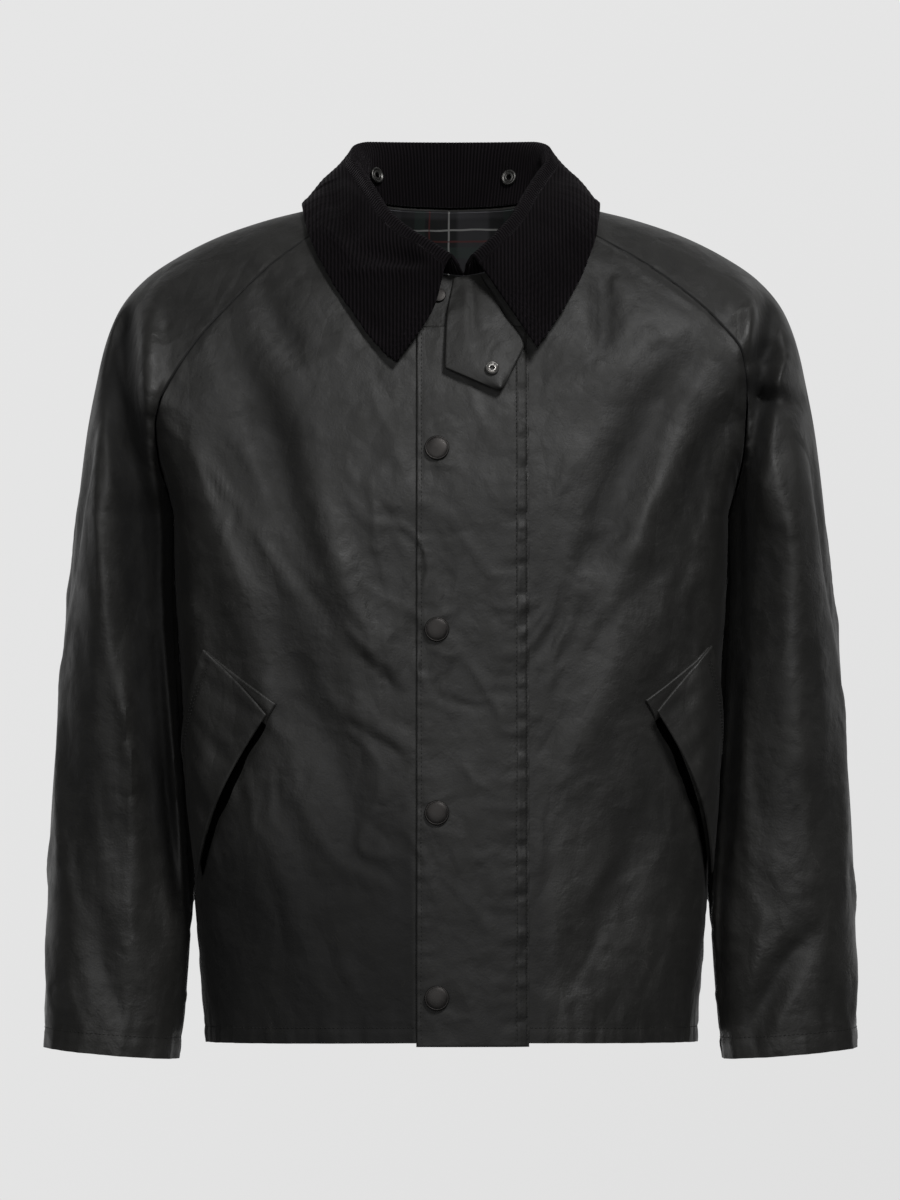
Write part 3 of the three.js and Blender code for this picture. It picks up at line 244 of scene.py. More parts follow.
# %% The small creases
SMALL_FOLDS = {
    "front": [
        (-98, -318, -40, -372, 4, 5, 1.8), (-84, -352, -34, -396, -3, 4.5, -1.8), (-110, -372, -46, -428, 5, 5, 1.6),
        (-96, -408, -38, -436, -3, 4, -1.4), (-72, -300, -38, -322, 2, 3.5, 1.2), (-168, -226, -104, -330, 6, 7, 2.4),
        (-150, -262, -84, -352, -4, 5, -2), (-196, -196, -168, -262, 3, 5, -1.8), (-176, -120, -150, -176, 3, 6, 1.8),
        (-132, -84, -92, -120, -3, 4.5, -1.4), (-146, -30, -176, -78, 3, 4, -1.8), (-132, -26, -160, -62, -2, 4, 1.3),
        (-164, -54, -190, -92, 2, 3.5, 1.1), (-128, -452, -72, -540, 6, 7, 1.6), (-160, -500, -128, -600, -5, 8, -1.8),
        (-92, -560, -66, -640, 4, 6, 1.3), (-196, -560, -182, -640, 2, 6, 1.4), (-66, -140, -38, -196, 4, 6, 1.3),
        (-60, -232, -36, -262, 2, 3.5, -1.1), (-82, -470, -40, -506, 3, 4.5, -1.2),
        (176, -200, 142, -292, 5, 6, 2.2), (206, -214, 196, -268, 3, 5, -1.8), (158, -296, 100, -372, 5, 6, -2),
        (190, -330, 148, -384, 3, 5, 1.6), (96, -180, 78, -250, -3, 6, 1.4), (104, -320, 72, -396, 4, 5, 1.6),
        (92, -396, 66, -440, -3, 4, -1.3), (176, -120, 140, -160, 3, 6, 1.6), (150, -92, 126, -130, -2, 4.5, -1.3),
        (140, -500, 96, -580, 5, 7, 1.7), (120, -560, 84, -630, -4, 6, -1.5), (184, -540, 166, -632, 3, 6, 1.5),
        (72, -470, 70, -540, 2, 5, 1.1), (74, -120, 70, -168, 2, 5, -1.1),
        (-2, -346, 46, -426, -5, 4.5, 1.7), (-22, -206, 12, -214, 1, 3, 1), (-22, -186, 20, -176, -1, 3, 1),
        (-24, -332, 8, -322, 1, 3, 1.1), (-24, -352, 6, -362, -1, 3, 1.1), (2, -250, 36, -300, 3, 4.5, 1.3),
        (-14, -270, 20, -258, 1, 3, -0.9), (-10, -390, 30, -400, 2, 3.5, -1), (-24, -474, 8, -464, 1, 3, 1.1),
        (-24, -492, 10, -502, -1, 3, 1.1), (4, -440, 40, -470, 3, 4.5, 1.1), (0, -540, 34, -580, -3, 5, 1.2),
        (-24, -618, 8, -608, 1, 3, 1.1), (-22, -640, 12, -648, -1, 3, 1), (10, -130, 34, -196, 3, 5, 1.2),
        (-254, -190, -246, -280, 3, 5, 2.2), (-268, -210, -262, -330, -3, 5, -2), (-292, -220, -276, -360, 4, 6, 2.2),
        (-300, -300, -286, -420, -3, 5, -1.6), (-262, -356, -244, -470, 3, 5, 2), (-284, -420, -258, -540, 4, 6, -2),
        (-300, -470, -282, -600, -3, 6, 1.8), (-256, -520, -238, -640, 3, 5, 1.8), (-276, -590, -252, -670, 3, 5, -1.8),
        (-306, -600, -286, -668, 3, 5, 1.6), (-232, -420, -220, -530, 2, 4, -1.8),
        (246, -126, 272, -118, 2, 3.5, 1.4), (240, -186, 266, -206, 3, 5, -2), (252, -220, 276, -280, -3, 6, 2),
        (282, -200, 286, -300, 3, 6, -1.8), (246, -300, 256, -400, 3, 5, 1.9), (286, -330, 296, -450, -3, 6, 1.8),
        (240, -420, 250, -520, 2, 5, -1.8), (270, -450, 290, -560, 4, 6, -1.7), (300, -520, 288, -640, -3, 6, 1.7),
        (252, -560, 236, -640, 3, 5, 1.8), (276, -620, 250, -676, 3, 5, 1.9), (306, -600, 296, -664, 2, 5, -1.4),
        (-267, -104, -251, -168, 2, 4, 5), (-286, -118, -264, -400, 3, 9, 5), (-274, -166, -262, -256, 2, 6, 3.5),
        (-256, -330, -244, -560, 3, 6, 4),
        (230, -131, 272, -124, -3, 3, -5), (232, -150, 262, -158, 2, 4, -6), (250, -176, 266, -250, 3, 9, 5),
        (228, -250, 238, -560, 3, 5, 4), (-62, -214, -44, -330, 3, 5, 2), (-70, -300, -46, -420, -4, 5, -2.2),
    ],
    "back": [
        (-150, -180, -80, -330, 6, 8, 2.4), (150, -200, 84, -360, -6, 8, 2.2), (-110, -330, -90, -520, 4, 8, -2),
        (20, -260, 10, -440, 4, 10, 1.8), (96, -420, 120, -600, -4, 8, 2), (-60, -470, -44, -640, 3, 8, 1.8),
        (-170, -420, -180, -620, -4, 8, 1.8), (160, -480, 170, -640, 4, 8, -1.8), (-60, -60, -30, -160, 4, 7, 1.6),
        (70, -60, 44, -170, -4, 7, -1.6), (-140, -60, -170, -110, 3, 5, -1.6), (146, -60, 172, -104, -3, 5, 1.6),
        (-262, -200, -250, -320, 3, 6, 2), (264, -220, 250, -340, -3, 6, 2), (-286, -260, -270, -420, 3, 6, -2),
        (288, -280, 272, -440, -3, 6, -2), (-262, -440, -244, -600, 3, 6, 2), (266, -470, 250, -620, -3, 6, 2),
    ],
}  # fmt: skip
print("small creases:", {face: len(rows) for face, rows in SMALL_FOLDS.items()})

# %% [markdown]
# ## The height of a fold
# A fold is a line with a bow. Near the line the cloth rises or sinks, and along the line it swells and dies away.
# A large fold has a round section, and a small crease has a narrow crest with long flanks, because it was
# pressed in once and never came out.

# %% Folds as heights
def smoothstep(value, low, high):
    t = np.clip((value - low) / (high - low), 0, 1)
    return t * t * (3 - 2 * t)


def bell(distance, width):
    """1 at no distance, and fading to nothing over about two widths."""
    return np.exp(-((distance / width) ** 2))


def beside_fold(fold, x, z):
    """How far along a fold a point lies, from 0 to 1, and how far beside it, in widths."""
    from_x, from_z, to_x, to_z, bow, width, _ = fold
    dx, dz = to_x - from_x, to_z - from_z
    length = math.hypot(dx, dz)
    along = np.clip(((x - from_x) * dx + (z - from_z) * dz) / length**2, 0, 1)
    sideways = ((x - from_x) * dz - (z - from_z) * dx) / length
    return along, (sideways - bow * 4 * along * (1 - along)) / width


def fold_height(folds, x, z):
    height = np.zeros(np.shape(x))
    for fold in folds:
        along, off = beside_fold(fold, x, z)
        height += fold[-1] * np.exp(-off * off) * np.sin(math.pi * along) ** 0.8
    return height


def crease_height(folds, x, z):
    height = np.zeros(np.shape(x))
    for fold in folds:
        along, off = beside_fold(fold, x, z)
        height += fold[-1] * np.exp(0.3 - 1.5 * np.sqrt(off * off + 0.04)) * np.sin(math.pi * along)
    return height


beside = fold_height([(0, 0, 0, 100, 0, 10, 10)], np.array([0.0, 10.0]), 50.0)
print("a fold of 10 mm, at its crest and 10 mm beside it:", beside.round(1).tolist())

# %% [markdown]
# ## Crumple
# Between the folds that were drawn, wax cloth is covered in fine crests. Nobody can draw hundreds of them, so
# they come from noise: its zero lines wander over the cloth, and a crest is put on each. The right front, the
# left front, the sleeves and the fly each have their own direction, because creases follow the pull of the cloth.

# %% Fine crests from noise
def soft_noise(seed, u, v):
    """Smooth noise from -1 to 1, with a new value at each whole step of u and of v."""
    values = np.random.default_rng(seed).uniform(-1, 1, (128, 128))
    i, j = np.floor(u).astype(int), np.floor(v).astype(int)
    s, t = smoothstep(u - i, 0, 1), smoothstep(v - j, 0, 1)
    low = values[i % 128, j % 128] * (1 - s) + values[(i + 1) % 128, j % 128] * s
    high = values[i % 128, (j + 1) % 128] * (1 - s) + values[(i + 1) % 128, (j + 1) % 128] * s
    return low * (1 - t) + high * t


def creases(seed, x, z, way, across, along):
    """Crests of fine creases that run one way, about as wide and as long as given."""
    u, v = (x * way[1] - z * way[0]) / across, (x * way[0] + z * way[1]) / along
    u = u + 1.4 * soft_noise(seed + 1, u / 3.1, v * 1.3) + 0.35 * soft_noise(seed + 2, u * 1.3, v * 3.7)
    crest = 1 - np.sqrt(soft_noise(seed, u, v) ** 2 + 0.01) * 2.2
    return np.clip(crest, -0.6, 1) * (0.15 + 0.85 * smoothstep(soft_noise(seed + 3, u / 4, v), -0.4, 0.5))


def crumple(face, x, z):
    """Crests on the fronts or the back, on the sleeves, and across the fly, each kind fading into the next."""
    sleeve = smoothstep(np.abs(x), 224, 252)
    left = smoothstep(x, -14, 22)
    fly = np.exp(-(((x - 14) / 46) ** 4)) if face == "front" else 0 * x
    calm = 1 - 0.75 * smoothstep(-z, 520, 600) * (1 - left)
    on_right = 1.7 * creases(3, x, z, (0.42, -0.91), 17, 62) + 0.5 * creases(43, x, z, (0.5, -0.87), 8, 24)
    on_left = 1.3 * creases(11, x, z, (-0.40, -0.92), 19, 70) + 0.35 * creases(53, x, z, (-0.3, -0.95), 8, 26)
    arm = 1.5 * creases(19, x, z, (0.08, -1.0), 15, 84) + 0.45 * creases(61, x, z, (-0.2, -0.98), 8, 30)
    height = ((1 - left) * calm * on_right + left * on_left) * (1 - sleeve) + sleeve * arm
    return height * (1 - 0.4 * fly) + fly * 0.9 * creases(29, x, z, (0.6, -0.8), 12, 34)


print("crumple at the right chest:", round(float(crumple("front", np.array([-120.0]), np.array([-200.0]))[0]), 2), "mm")

# %% [markdown]
# ## The valley beside each arm
# A sleeve that hangs down doesn't lie flush with the body. It sinks behind the body's edge and comes forward
# again at a ridge further out, and in between lies the deep dark fold that the photo shows; the cloth's colour
# there gets painted shade as well. One table gives the body's edge and one the ridge. The ridge runs inward as
# it goes down, so the valley ends near the cuff. Behind, where the photo shows nothing, the same valley is used.

# %% The arm's valley
ARM_EDGE = {
    "right": table(
        "z x", (-700, 216), (-628, 212), (-570, 209), (-500, 211), (-400, 217), (-300, 222), (-248, 226), (-205, 236),
        (-166, 241), (-125, 244), (-84, 247), (-40, 251), (20, 252),
    ),
    "left": table(
        "z x", (-700, 216), (-628, 212), (-570, 209), (-500, 211), (-400, 217), (-300, 221), (-248, 223), (-205, 231),
        (-166, 234), (-125, 235), (-84, 241), (-40, 246), (20, 247),
    ),
}  # fmt: skip
ARM_RIDGE = {
    "right": table(
        "z x", (-700, 222), (-600, 219), (-534, 230), (-460, 246), (-400, 258), (-362, 266), (-334, 270), (-280, 277),
        (-244, 281), (-157, 284), (-100, 282), (20, 280),
    ),
    "left": table(
        "z x", (-700, 222), (-600, 220), (-500, 226), (-400, 234), (-300, 240), (-248, 242), (-166, 256), (-84, 266),
        (20, 270),
    ),
}  # fmt: skip
ARM_SINK = {"right": 27, "left": 15}
FULL_WIDTH = {"right": 34, "left": 14}


def arm_valley(x, z):
    """How far the sleeve sinks behind the body's edge, out to the ridge where it comes forward again."""
    depth = np.zeros(np.shape(x))
    for side, sign in SIDES.items():
        from_x, to_x = (read(line[side], "z", "x", np.clip(z, -700, 20)) for line in (ARM_EDGE, ARM_RIDGE))
        width = np.maximum(to_x - from_x, 6)
        past = (sign * x - from_x) / width
        deep = ARM_SINK[side] * smoothstep(width, 4, FULL_WIDTH[side]) * smoothstep(-z, 50, 96)
        depth += deep * smoothstep(past, -0.05, 0.42) * (1 - smoothstep(past, 0.45, 1.08))
    return depth


print("deepest valley:", round(float(arm_valley(-np.arange(200.0, 300.0), np.full(100, -250.0)).max()), 1), "mm")

# %% [markdown]
# ## Creased cloth
# All of this comes together in one function that moves points. Cloth in front moves forward or back, cloth on
# the outer side of an arm moves sideways, and the parts between take a share of each. Because it moves points and
# not pieces, two pieces that share a seam stay together, and a stitch moves with the cloth that it holds.

# %% Points on creased cloth
def creased(points):
    x, y, z = np.moveaxis(points, -1, 0)
    moved = points.copy()
    for face, sign in FACES.items():
        share = smoothstep(sign * y, 12, 55)
        still = 1 - 0.5 * smoothstep(-z, 480, 600) * (1 - smoothstep(np.abs(x), 206, 224))
        height = still * fold_height(LARGE_FOLDS[face], x, z) + crease_height(SMALL_FOLDS[face], x, z)
        moved[..., 1] += sign * share * (height + crumple(face, x, z) - arm_valley(x, z))
    outer = smoothstep(np.abs(x), 268, 292)
    moved[..., 0] += np.sign(x) * outer * fold_height(SLEEVE_FOLDS, y, z + np.where(x > 0, 24, 0))
    return moved


def wear(outer, moved):
    """How far a crease stands out, which sets the cloth's colour. Ridges are paler, partly rubbed wax and partly
    painted light; hollows and the arm's valley get painted shade. Toward the hem the right front and the fly get
    painted shade, and the left front and the sleeves painted light."""
    x, y, z = np.moveaxis(outer, -1, 0)
    shift = moved - outer
    # Painted shade near the hem on the right front and the fly, and painted light on the left front and the sleeves.
    low = smoothstep(-z, 430, 580) * (y < 0)
    painted_shade_front = 20 * smoothstep(-x, 26, 34) * (1 - smoothstep(-x, 190, 214))
    dark = painted_shade_front + 7 * (1 - smoothstep(np.abs(x - 18), 50, 62))
    pale = 9 * (smoothstep(x, 76, 90) + smoothstep(-x, 212, 226))
    return shift[..., 1] * np.sign(y) + shift[..., 0] * np.sign(x) + low * (pale - dark)


sample = np.array([[-120.0, -100.0, -200.0]])
print("a point on the right front moves by", (creased(sample) - sample).round(1).tolist()[0], "mm")

# %% [markdown]
# ## Cloth as a wall
# A sheet with no thickness has no edge to catch the light, so every piece here is a thin wall: an outer grid of
# points, an inner grid behind it, and a rim that joins them. Blender's Solidify would do this too, but building
# the two grids by hand lets a hem be thicker than the cloth above it. Each point also remembers where it lay on
# the flat cut, because checks, ribs and weaves follow the cut and not the body.

# %% Walls, and steps that are finer at the seams
FINE = np.array([0, 0.6, 1.3, 2.2, 3.4, 5, 7, 9.5, 12.5])
SHARP_EDGE = 62


def to_frame(points):
    """From the tables' millimetres to the frame's metres, where y starts at the nape."""
    return (points - (0, NAPE_Y, 0)) / 1000


def put_in(name, mesh):
    """Make an object of a mesh, riding on the one body."""
    piece = bpy.data.objects.new(name, mesh)
    bpy.context.collection.objects.link(piece)
    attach(piece, "root")
    return piece


def steps(length, spacing, fine_from=True):
    """Places along a length, from 0 to 1. They crowd together toward the seams at its ends."""
    start = FINE if fine_from else FINE[:1]
    end = length - FINE[::-1]
    count = max(int(round((end[0] - start[-1]) / spacing)), 1)
    middle = np.linspace(start[-1], end[0], count + 1)[1:-1]
    return np.concatenate((start, middle, end)) / length


def wall(name, outer, inner, cut, materials, crease=creased, painted_shade=0.0):
    """A piece of cloth from its outer and inner grid. Painted shade darkens it, as in the groove of a seam."""
    rows, columns = outer.shape[:2]
    layers = [outer, inner] if crease is None else [crease(outer), crease(inner)]
    points = to_frame(np.concatenate([layer.reshape(-1, 3) for layer in layers]))
    index = np.arange(rows * columns).reshape(rows, columns)
    far = index + rows * columns

    def quads(a, b, c, d):
        return np.stack([a, b, c, d], axis=-1).reshape(-1, 4)

    outside = quads(index[:-1, :-1], index[:-1, 1:], index[1:, 1:], index[1:, :-1])
    inside = quads(far[:-1, :-1], far[1:, :-1], far[1:, 1:], far[:-1, 1:])
    rim = np.concatenate([
        quads(index[0, :-1], far[0, :-1], far[0, 1:], index[0, 1:]),
        quads(index[-1, :-1], index[-1, 1:], far[-1, 1:], far[-1, :-1]),
        quads(index[:-1, 0], index[1:, 0], far[1:, 0], far[:-1, 0]),
        quads(index[:-1, -1], far[:-1, -1], far[1:, -1], index[1:, -1]),
    ])  # fmt: skip
    faces = np.concatenate([outside, inside, rim])
    a, b, c = (points[faces[:, k]] for k in range(3))
    if np.einsum("ij,ij->", a, np.cross(b, c)) < 0:
        faces = faces[:, ::-1]
    mesh = bpy.data.meshes.new(name)
    mesh.from_pydata(points.tolist(), [], faces.tolist())
    for material in materials:
        mesh.materials.append(material)
    slots = np.zeros(len(faces), int)
    slots[len(outside) : len(outside) + len(inside)] = len(materials) - 1
    mesh.polygons.foreach_set("material_index", slots)
    flat = np.zeros((len(points), 3))
    flat[:, :2] = np.tile(cut.reshape(-1, 2) / 1000, (2, 1))
    # The cut's third coordinate sets the wax's colour: ridges paler, partly rubbed wax and partly painted light, and
    # painted shade in hollows, the arm's valley and the grooves of seams.
    worn = wear(outer, layers[0]) if crease else np.zeros((rows, columns))
    flat[:, 2] = np.tile((worn - painted_shade).ravel() / 1000, 2)
    mesh.attributes.new("cut", "FLOAT_VECTOR", "POINT").data.foreach_set("vector", flat.ravel())
    mesh.shade_smooth()
    mesh.set_sharp_from_angle(angle=math.radians(SHARP_EDGE))
    print(name, len(faces), "faces")
    return put_in(name, mesh)


def distance_to(points, line):
    """The distance from each point of a grid to the nearest point of a line, a stretch of the line at a time."""
    flat = points.reshape(-1, 3)
    near = np.full(len(flat), 1e9)
    for chunk in np.array_split(np.asarray(line), max(len(line) // 40, 1)):
        gap = np.linalg.norm(flat[:, None, :] - chunk[None], axis=2).min(axis=1)
        near = np.minimum(near, gap)
    return near.reshape(points.shape[:2])


def uneven(along, *waves):
    """A wandering height: several waves whose lengths share no common measure."""
    return sum(tall * np.sin(along * 2 * math.pi / length + 1.7 * k) for k, (length, tall) in enumerate(waves))


print("steps over 100 mm, 5 mm apart:", len(steps(100, 5)))

# %% [markdown]
# ## Shader maths
# A material is a small calculation for each point of the surface. Wiring it by hand hides the calculation, so
# a socket is wrapped in a class here that knows plus, minus and times. `1 - worn` then adds its own Math
# node, and a finish reads like a line of algebra.

# %% A socket that can be reckoned with
class Wire:
    def __init__(self, finish, socket):
        self.finish, self.socket = finish, socket

    def math(self, operation, a, b=0.0):
        return self.finish.node("ShaderNodeMath", {"operation": operation}, {0: a, 1: b})

    def __add__(self, other):
        return self.math("ADD", self, other)

    def __sub__(self, other):
        return self.math("SUBTRACT", self, other)

    def __rsub__(self, other):
        return self.math("SUBTRACT", other, self)

    def __mul__(self, other):
        return self.math("MULTIPLY", self, other)

    __radd__, __rmul__ = __add__, __mul__

    def between(self, low, high):
        settings = {"interpolation_type": "SMOOTHSTEP", "clamp": True}
        return self.finish.node("ShaderNodeMapRange", settings, {"Value": self, "From Min": low, "From Max": high})


class Finish:
    def __init__(self, name):
        self.material = bpy.data.materials.new(name)
        self.material.use_nodes = True
        self.tree = self.material.node_tree
        self.tree.nodes.clear()

    def node(self, kind, settings=None, values=None, output=0):
        made = self.tree.nodes.new(kind)
        for name, setting in (settings or {}).items():
            setattr(made, name, setting)
        for name, value in (values or {}).items():
            if isinstance(value, Wire):
                self.tree.links.new(value.socket, made.inputs[name])
            else:
                made.inputs[name].default_value = value
        return Wire(self, made.outputs[output])

    def noise(self, scale, detail=3.0, **more):
        return self.node("ShaderNodeTexNoise", {}, {"Scale": scale, "Detail": detail, **more, "Vector": self.place()})

    def swayed(self, scale, bend, tall=0.55):
        """The place of a point, shifted a little by noise, and drawn out so that what follows it is tall."""
        sway = self.node("ShaderNodeTexNoise", {}, {"Scale": scale, "Detail": 1.0, "Vector": self.place()}, output=1)
        bent = {0: sway, 1: (bend, bend, bend), 2: self.place()}
        place = self.node("ShaderNodeVectorMath", {"operation": "MULTIPLY_ADD"}, bent)
        return self.node("ShaderNodeVectorMath", {"operation": "MULTIPLY"}, {0: place, 1: (1, 1, tall)})

    def facets(self, where, scale, feature="DISTANCE_TO_EDGE"):
        """Faces that meet in sharp lines, as on stiff cloth that was crushed once."""
        return self.node("ShaderNodeTexVoronoi", {"feature": feature}, {"Scale": scale, "Vector": where})

    def place(self):
        return self.node("ShaderNodeTexCoord", output=3)

    def cut(self, axis):
        vector = self.node("ShaderNodeAttribute", {"attribute_name": "cut"}, output=1)
        return self.node("ShaderNodeSeparateXYZ", {}, {0: vector}, output="XYZ".index(axis))

    def mix(self, factor, a, b):
        settings = {"data_type": "RGBA", "blend_type": "MIX"}
        return self.node("ShaderNodeMix", settings, {0: factor, 6: a, 7: b}, output=2)

    def bump(self, height, strength, distance):
        return self.node("ShaderNodeBump", {}, {"Strength": strength, "Distance": distance, "Height": height})

    def close(self, **values):
        named = {name.replace("_", " "): value for name, value in values.items()}
        surface = self.node("ShaderNodeBsdfPrincipled", {}, named)
        output = self.tree.nodes.new("ShaderNodeOutputMaterial")
        self.tree.links.new(surface.socket, output.inputs[0])
        return self.material


print("shader maths: plus, minus, times and between")


# %% [markdown]
# ## Waxed cotton
# The cloth is a dense cotton steeped in wax. It is almost black, it shines softly where light grazes it, and
# the wax lies unevenly, so broad patches are duller than others. Where the cloth has been folded the wax has
# cracked, and the crack shows as a pale hairline. The patches come from slow noise, the cracks from the narrow
# zero line of a warped noise, and a fine grain stands for the weave, which is too close to see thread by thread.
# In some patches the cloth is crushed. There a Voronoi texture raises small faces that meet in sharp lines, and
# its place is swayed by noise first, so that the lines don't run straight.

# %% Waxed cotton
def waxed_cotton(name, dark, pale):
    finish = Finish(name)
    slow = finish.noise(8, 2, Roughness=0.5)
    patch = finish.noise(30, 4, Roughness=0.62)
    grain = finish.noise(620, 3)
    thread = finish.noise(2400, 1)
    warp = finish.noise(34, 3, Roughness=0.7, Distortion=0.7)
    crack = 1 - finish.node("ShaderNodeMath", {"operation": "ABSOLUTE"}, {0: warp - 0.5}).between(0.0, 0.010)
    cloud = finish.noise(15, 3, Roughness=0.55)
    swayed = finish.swayed(14, 0.035)
    crushed = finish.facets(swayed, 26) * cloud.between(0.36, 0.58)
    crinkled = finish.facets(swayed, 66, "F1") * patch.between(0.42, 0.6)
    cracked = crack * patch.between(0.5, 0.72)
    # Painted shade in hollows, the arm's valley, the grooves of seams and toward the hem on the right front; ridges
    # paler, partly rubbed wax and partly painted light.
    worn = finish.cut("Z").between(-0.022, 0.014)
    tone_with_painted_light_and_shade = slow.between(0.3, 0.7) * 0.15 + patch.between(0.3, 0.7) * 0.16 + grain * 0.12 + worn * 0.75 - 0.1
    colour = finish.mix(tone_with_painted_light_and_shade, dark, pale)
    colour = finish.mix(cracked * 0.22, colour, (0.07, 0.068, 0.062, 1))
    rough = 0.72 + patch.between(0.35, 0.7) * 0.12 + grain * 0.10 - worn * 0.34 + cracked * 0.15
    height = thread * 0.2 + grain * 0.5 + cracked * 0.2 + patch * 1.5 + cloud * 2.2 + crushed * 8.5 + crinkled * 1.0
    normal = finish.bump(height, 0.42, 0.0008)
    sheen = {"Sheen_Weight": 0.02, "Sheen_Roughness": 0.4}
    return finish.close(Base_Color=colour, Roughness=rough, Normal=normal, Specular_IOR_Level=0.48, **sheen)


WAX = waxed_cotton("waxed_cotton", (0.0030, 0.0030, 0.0028, 1), (0.0262, 0.0256, 0.0238, 1))
print("waxed cotton nodes:", len(WAX.node_tree.nodes))

# %% [markdown]
# ## Lining
# Inside the neck a checked cotton shows. It follows the cut of the piece, so each line is a comparison on the
# cut's own measure. The sleeves have a plain dark lining, which slides over other clothes, and the mouths of the
# pockets get a near-black painted shade.

# %% Lining
CHECK_REPEAT = 0.074


def stripes(finish, along, centre, half):
    """1 on a stripe of the given half width, once every repeat."""
    wrapped = finish.node("ShaderNodeMath", {"operation": "PINGPONG"}, {0: along - centre, 1: CHECK_REPEAT / 2})
    return 1 - wrapped.between(half * 0.85, half * 1.15)


def checked_cotton():
    finish = Finish("checked_cotton")
    weave, wander = finish.noise(1500, 2), finish.noise(22, 2)
    across, up = finish.cut("X") + wander * 0.003, finish.cut("Y") + wander * 0.006
    colour = finish.mix(weave, (0.005, 0.0052, 0.006, 1), (0.009, 0.0094, 0.0105, 1))
    bands = stripes(finish, across, 0.020, 0.013) * 0.5 + stripes(finish, up, 0.012, 0.013) * 0.5
    colour = finish.mix(bands * 0.8, colour, (0.078, 0.077, 0.085, 1))
    green = stripes(finish, across, 0.050, 0.0045) * 0.5 + stripes(finish, up, 0.046, 0.0045) * 0.5
    colour = finish.mix(green * 0.7, colour, (0.030, 0.060, 0.048, 1))
    lines = stripes(finish, across, 0.0, 0.0007) + stripes(finish, up, -0.010, 0.0007)
    colour = finish.mix(lines.between(0, 1) * 0.8, colour, (0.38, 0.38, 0.37, 1))
    red = stripes(finish, across, 0.058, 0.0007) + stripes(finish, up, 0.055, 0.0007)
    colour = finish.mix(red.between(0, 1) * 0.6, colour, (0.12, 0.022, 0.020, 1))
    return finish.close(Base_Color=colour, Roughness=0.9, Normal=finish.bump(weave, 0.3, 0.0004), Sheen_Weight=0.1)


def sleeve_lining():
    finish = Finish("sleeve_lining")
    weave = finish.noise(1200, 2)
    colour = finish.mix(weave, (0.012, 0.012, 0.013, 1), (0.022, 0.022, 0.024, 1))
    return finish.close(Base_Color=colour, Roughness=0.38 + weave * 0.1)


def painted_pocket_shade():
    finish = Finish("painted_pocket_shade")
    weave = finish.noise(1200, 2)
    # Painted shade: a near-black, matte sheet for the shadow inside a pocket's mouth.
    colour = finish.mix(weave, (0.0006, 0.0006, 0.0006, 1), (0.0016, 0.0016, 0.0016, 1))
    return finish.close(Base_Color=colour, Roughness=1.0, Specular_IOR_Level=0.0)


CHECK, SATIN, POCKET_SHADE = checked_cotton(), sleeve_lining(), painted_pocket_shade()
print("linings:", [m.name for m in (CHECK, SATIN, POCKET_SHADE)])

# %% [markdown]
# ## Corduroy, thread and metal
# Corduroy's ribs are real ridges here. Its material is deep and soft, with a painted highlight on the top of each rib
# and painted shade between the ribs, and sheen for the light that the pile catches from the side. The sewing
# thread is a shade lighter than the cloth. The studs are dark plated metal, worn on their rims, with brighter
# rings inside the collar.

# %% Corduroy, thread and metal
def corduroy():
    finish = Finish("corduroy_pile")
    pile = finish.noise(1300, 3)
    drift = finish.noise(24, 4)
    rib = finish.node("ShaderNodeMath", {"operation": "COSINE"}, {0: finish.cut("X") * (2000 * math.pi) + drift * 1.6})
    from_roll = finish.node("ShaderNodeMath", {"operation": "ABSOLUTE"}, {0: finish.cut("Y") - 0.004})
    worn = from_roll.between(0.0002, 0.002)
    # Painted highlight on the top of each rib and painted shade between ribs, fading out where the pile at the roll is
    # worn flat.
    painted_rib_highlight = ((rib * 0.5 + 0.5) * worn + (1 - worn) * 0.5) * (0.55 + drift.between(0.3, 0.7) * 0.45)
    colour = finish.mix(painted_rib_highlight * 0.8 + pile * 0.2, (0.0010, 0.0009, 0.0010, 1), (0.0125, 0.0102, 0.0120, 1))
    return finish.close(
        Base_Color=colour, Roughness=0.95, Normal=finish.bump(rib + pile * 0.5, 0.8, 0.0004), Specular_IOR_Level=0.06,
        Sheen_Weight=0.07, Sheen_Roughness=0.4, Sheen_Tint=(0.5, 0.46, 0.5, 1),
    )  # fmt: skip


def thread():
    finish = Finish("thread")
    twist = finish.noise(2200, 1)
    colour = finish.mix(twist, (0.008, 0.008, 0.0075, 1), (0.020, 0.0195, 0.018, 1))
    return finish.close(Base_Color=colour, Roughness=0.7)


def metal(name, dark, pale, rough):
    finish = Finish(name)
    wear = finish.noise(160, 5, Roughness=0.65)
    fine = finish.noise(1400, 2)
    colour = finish.mix(wear.between(0.2, 0.8), dark, pale)
    roughness = rough + wear.between(0.3, 0.7) * 0.08 + fine * 0.05
    normal = finish.bump(wear * 0.3 + fine, 0.06, 0.0003)
    return finish.close(Base_Color=colour, Roughness=roughness, Metallic=0.9, Normal=normal)


CORD, THREAD = corduroy(), thread()
CAP = metal("dark_plating", (0.032, 0.030, 0.029, 1), (0.047, 0.044, 0.042, 1), 0.42)
RING = metal("nickel", (0.26, 0.25, 0.24, 1), (0.46, 0.45, 0.43, 1), 0.26)
DULL_RING = metal("dull_nickel", (0.06, 0.058, 0.056, 1), (0.15, 0.147, 0.14, 1), 0.34)
print("materials:", [m.name for m in (CORD, THREAD, CAP, RING, DULL_RING)])

# %% [markdown]
# ## Stitches
# A row of stitches is what makes cloth look sewn. Each stitch is a short bead of thread that dives into the
# cloth at both ends. A texture of dashes would be cheaper, but a bead catches the light at every angle, so each
# row is a mesh: the line is measured, cut into stitches, and every stitch is a small six-pointed bead on it.

# %% Stitches
STITCH = {"length": 2.7, "pitch": 3.5, "half": 0.34, "rise": 0.3, "off": 0.25}


def distance_along(line):
    """How far along a line each of its points lies."""
    return np.concatenate(([0], np.cumsum(np.linalg.norm(np.diff(line, axis=0), axis=1))))


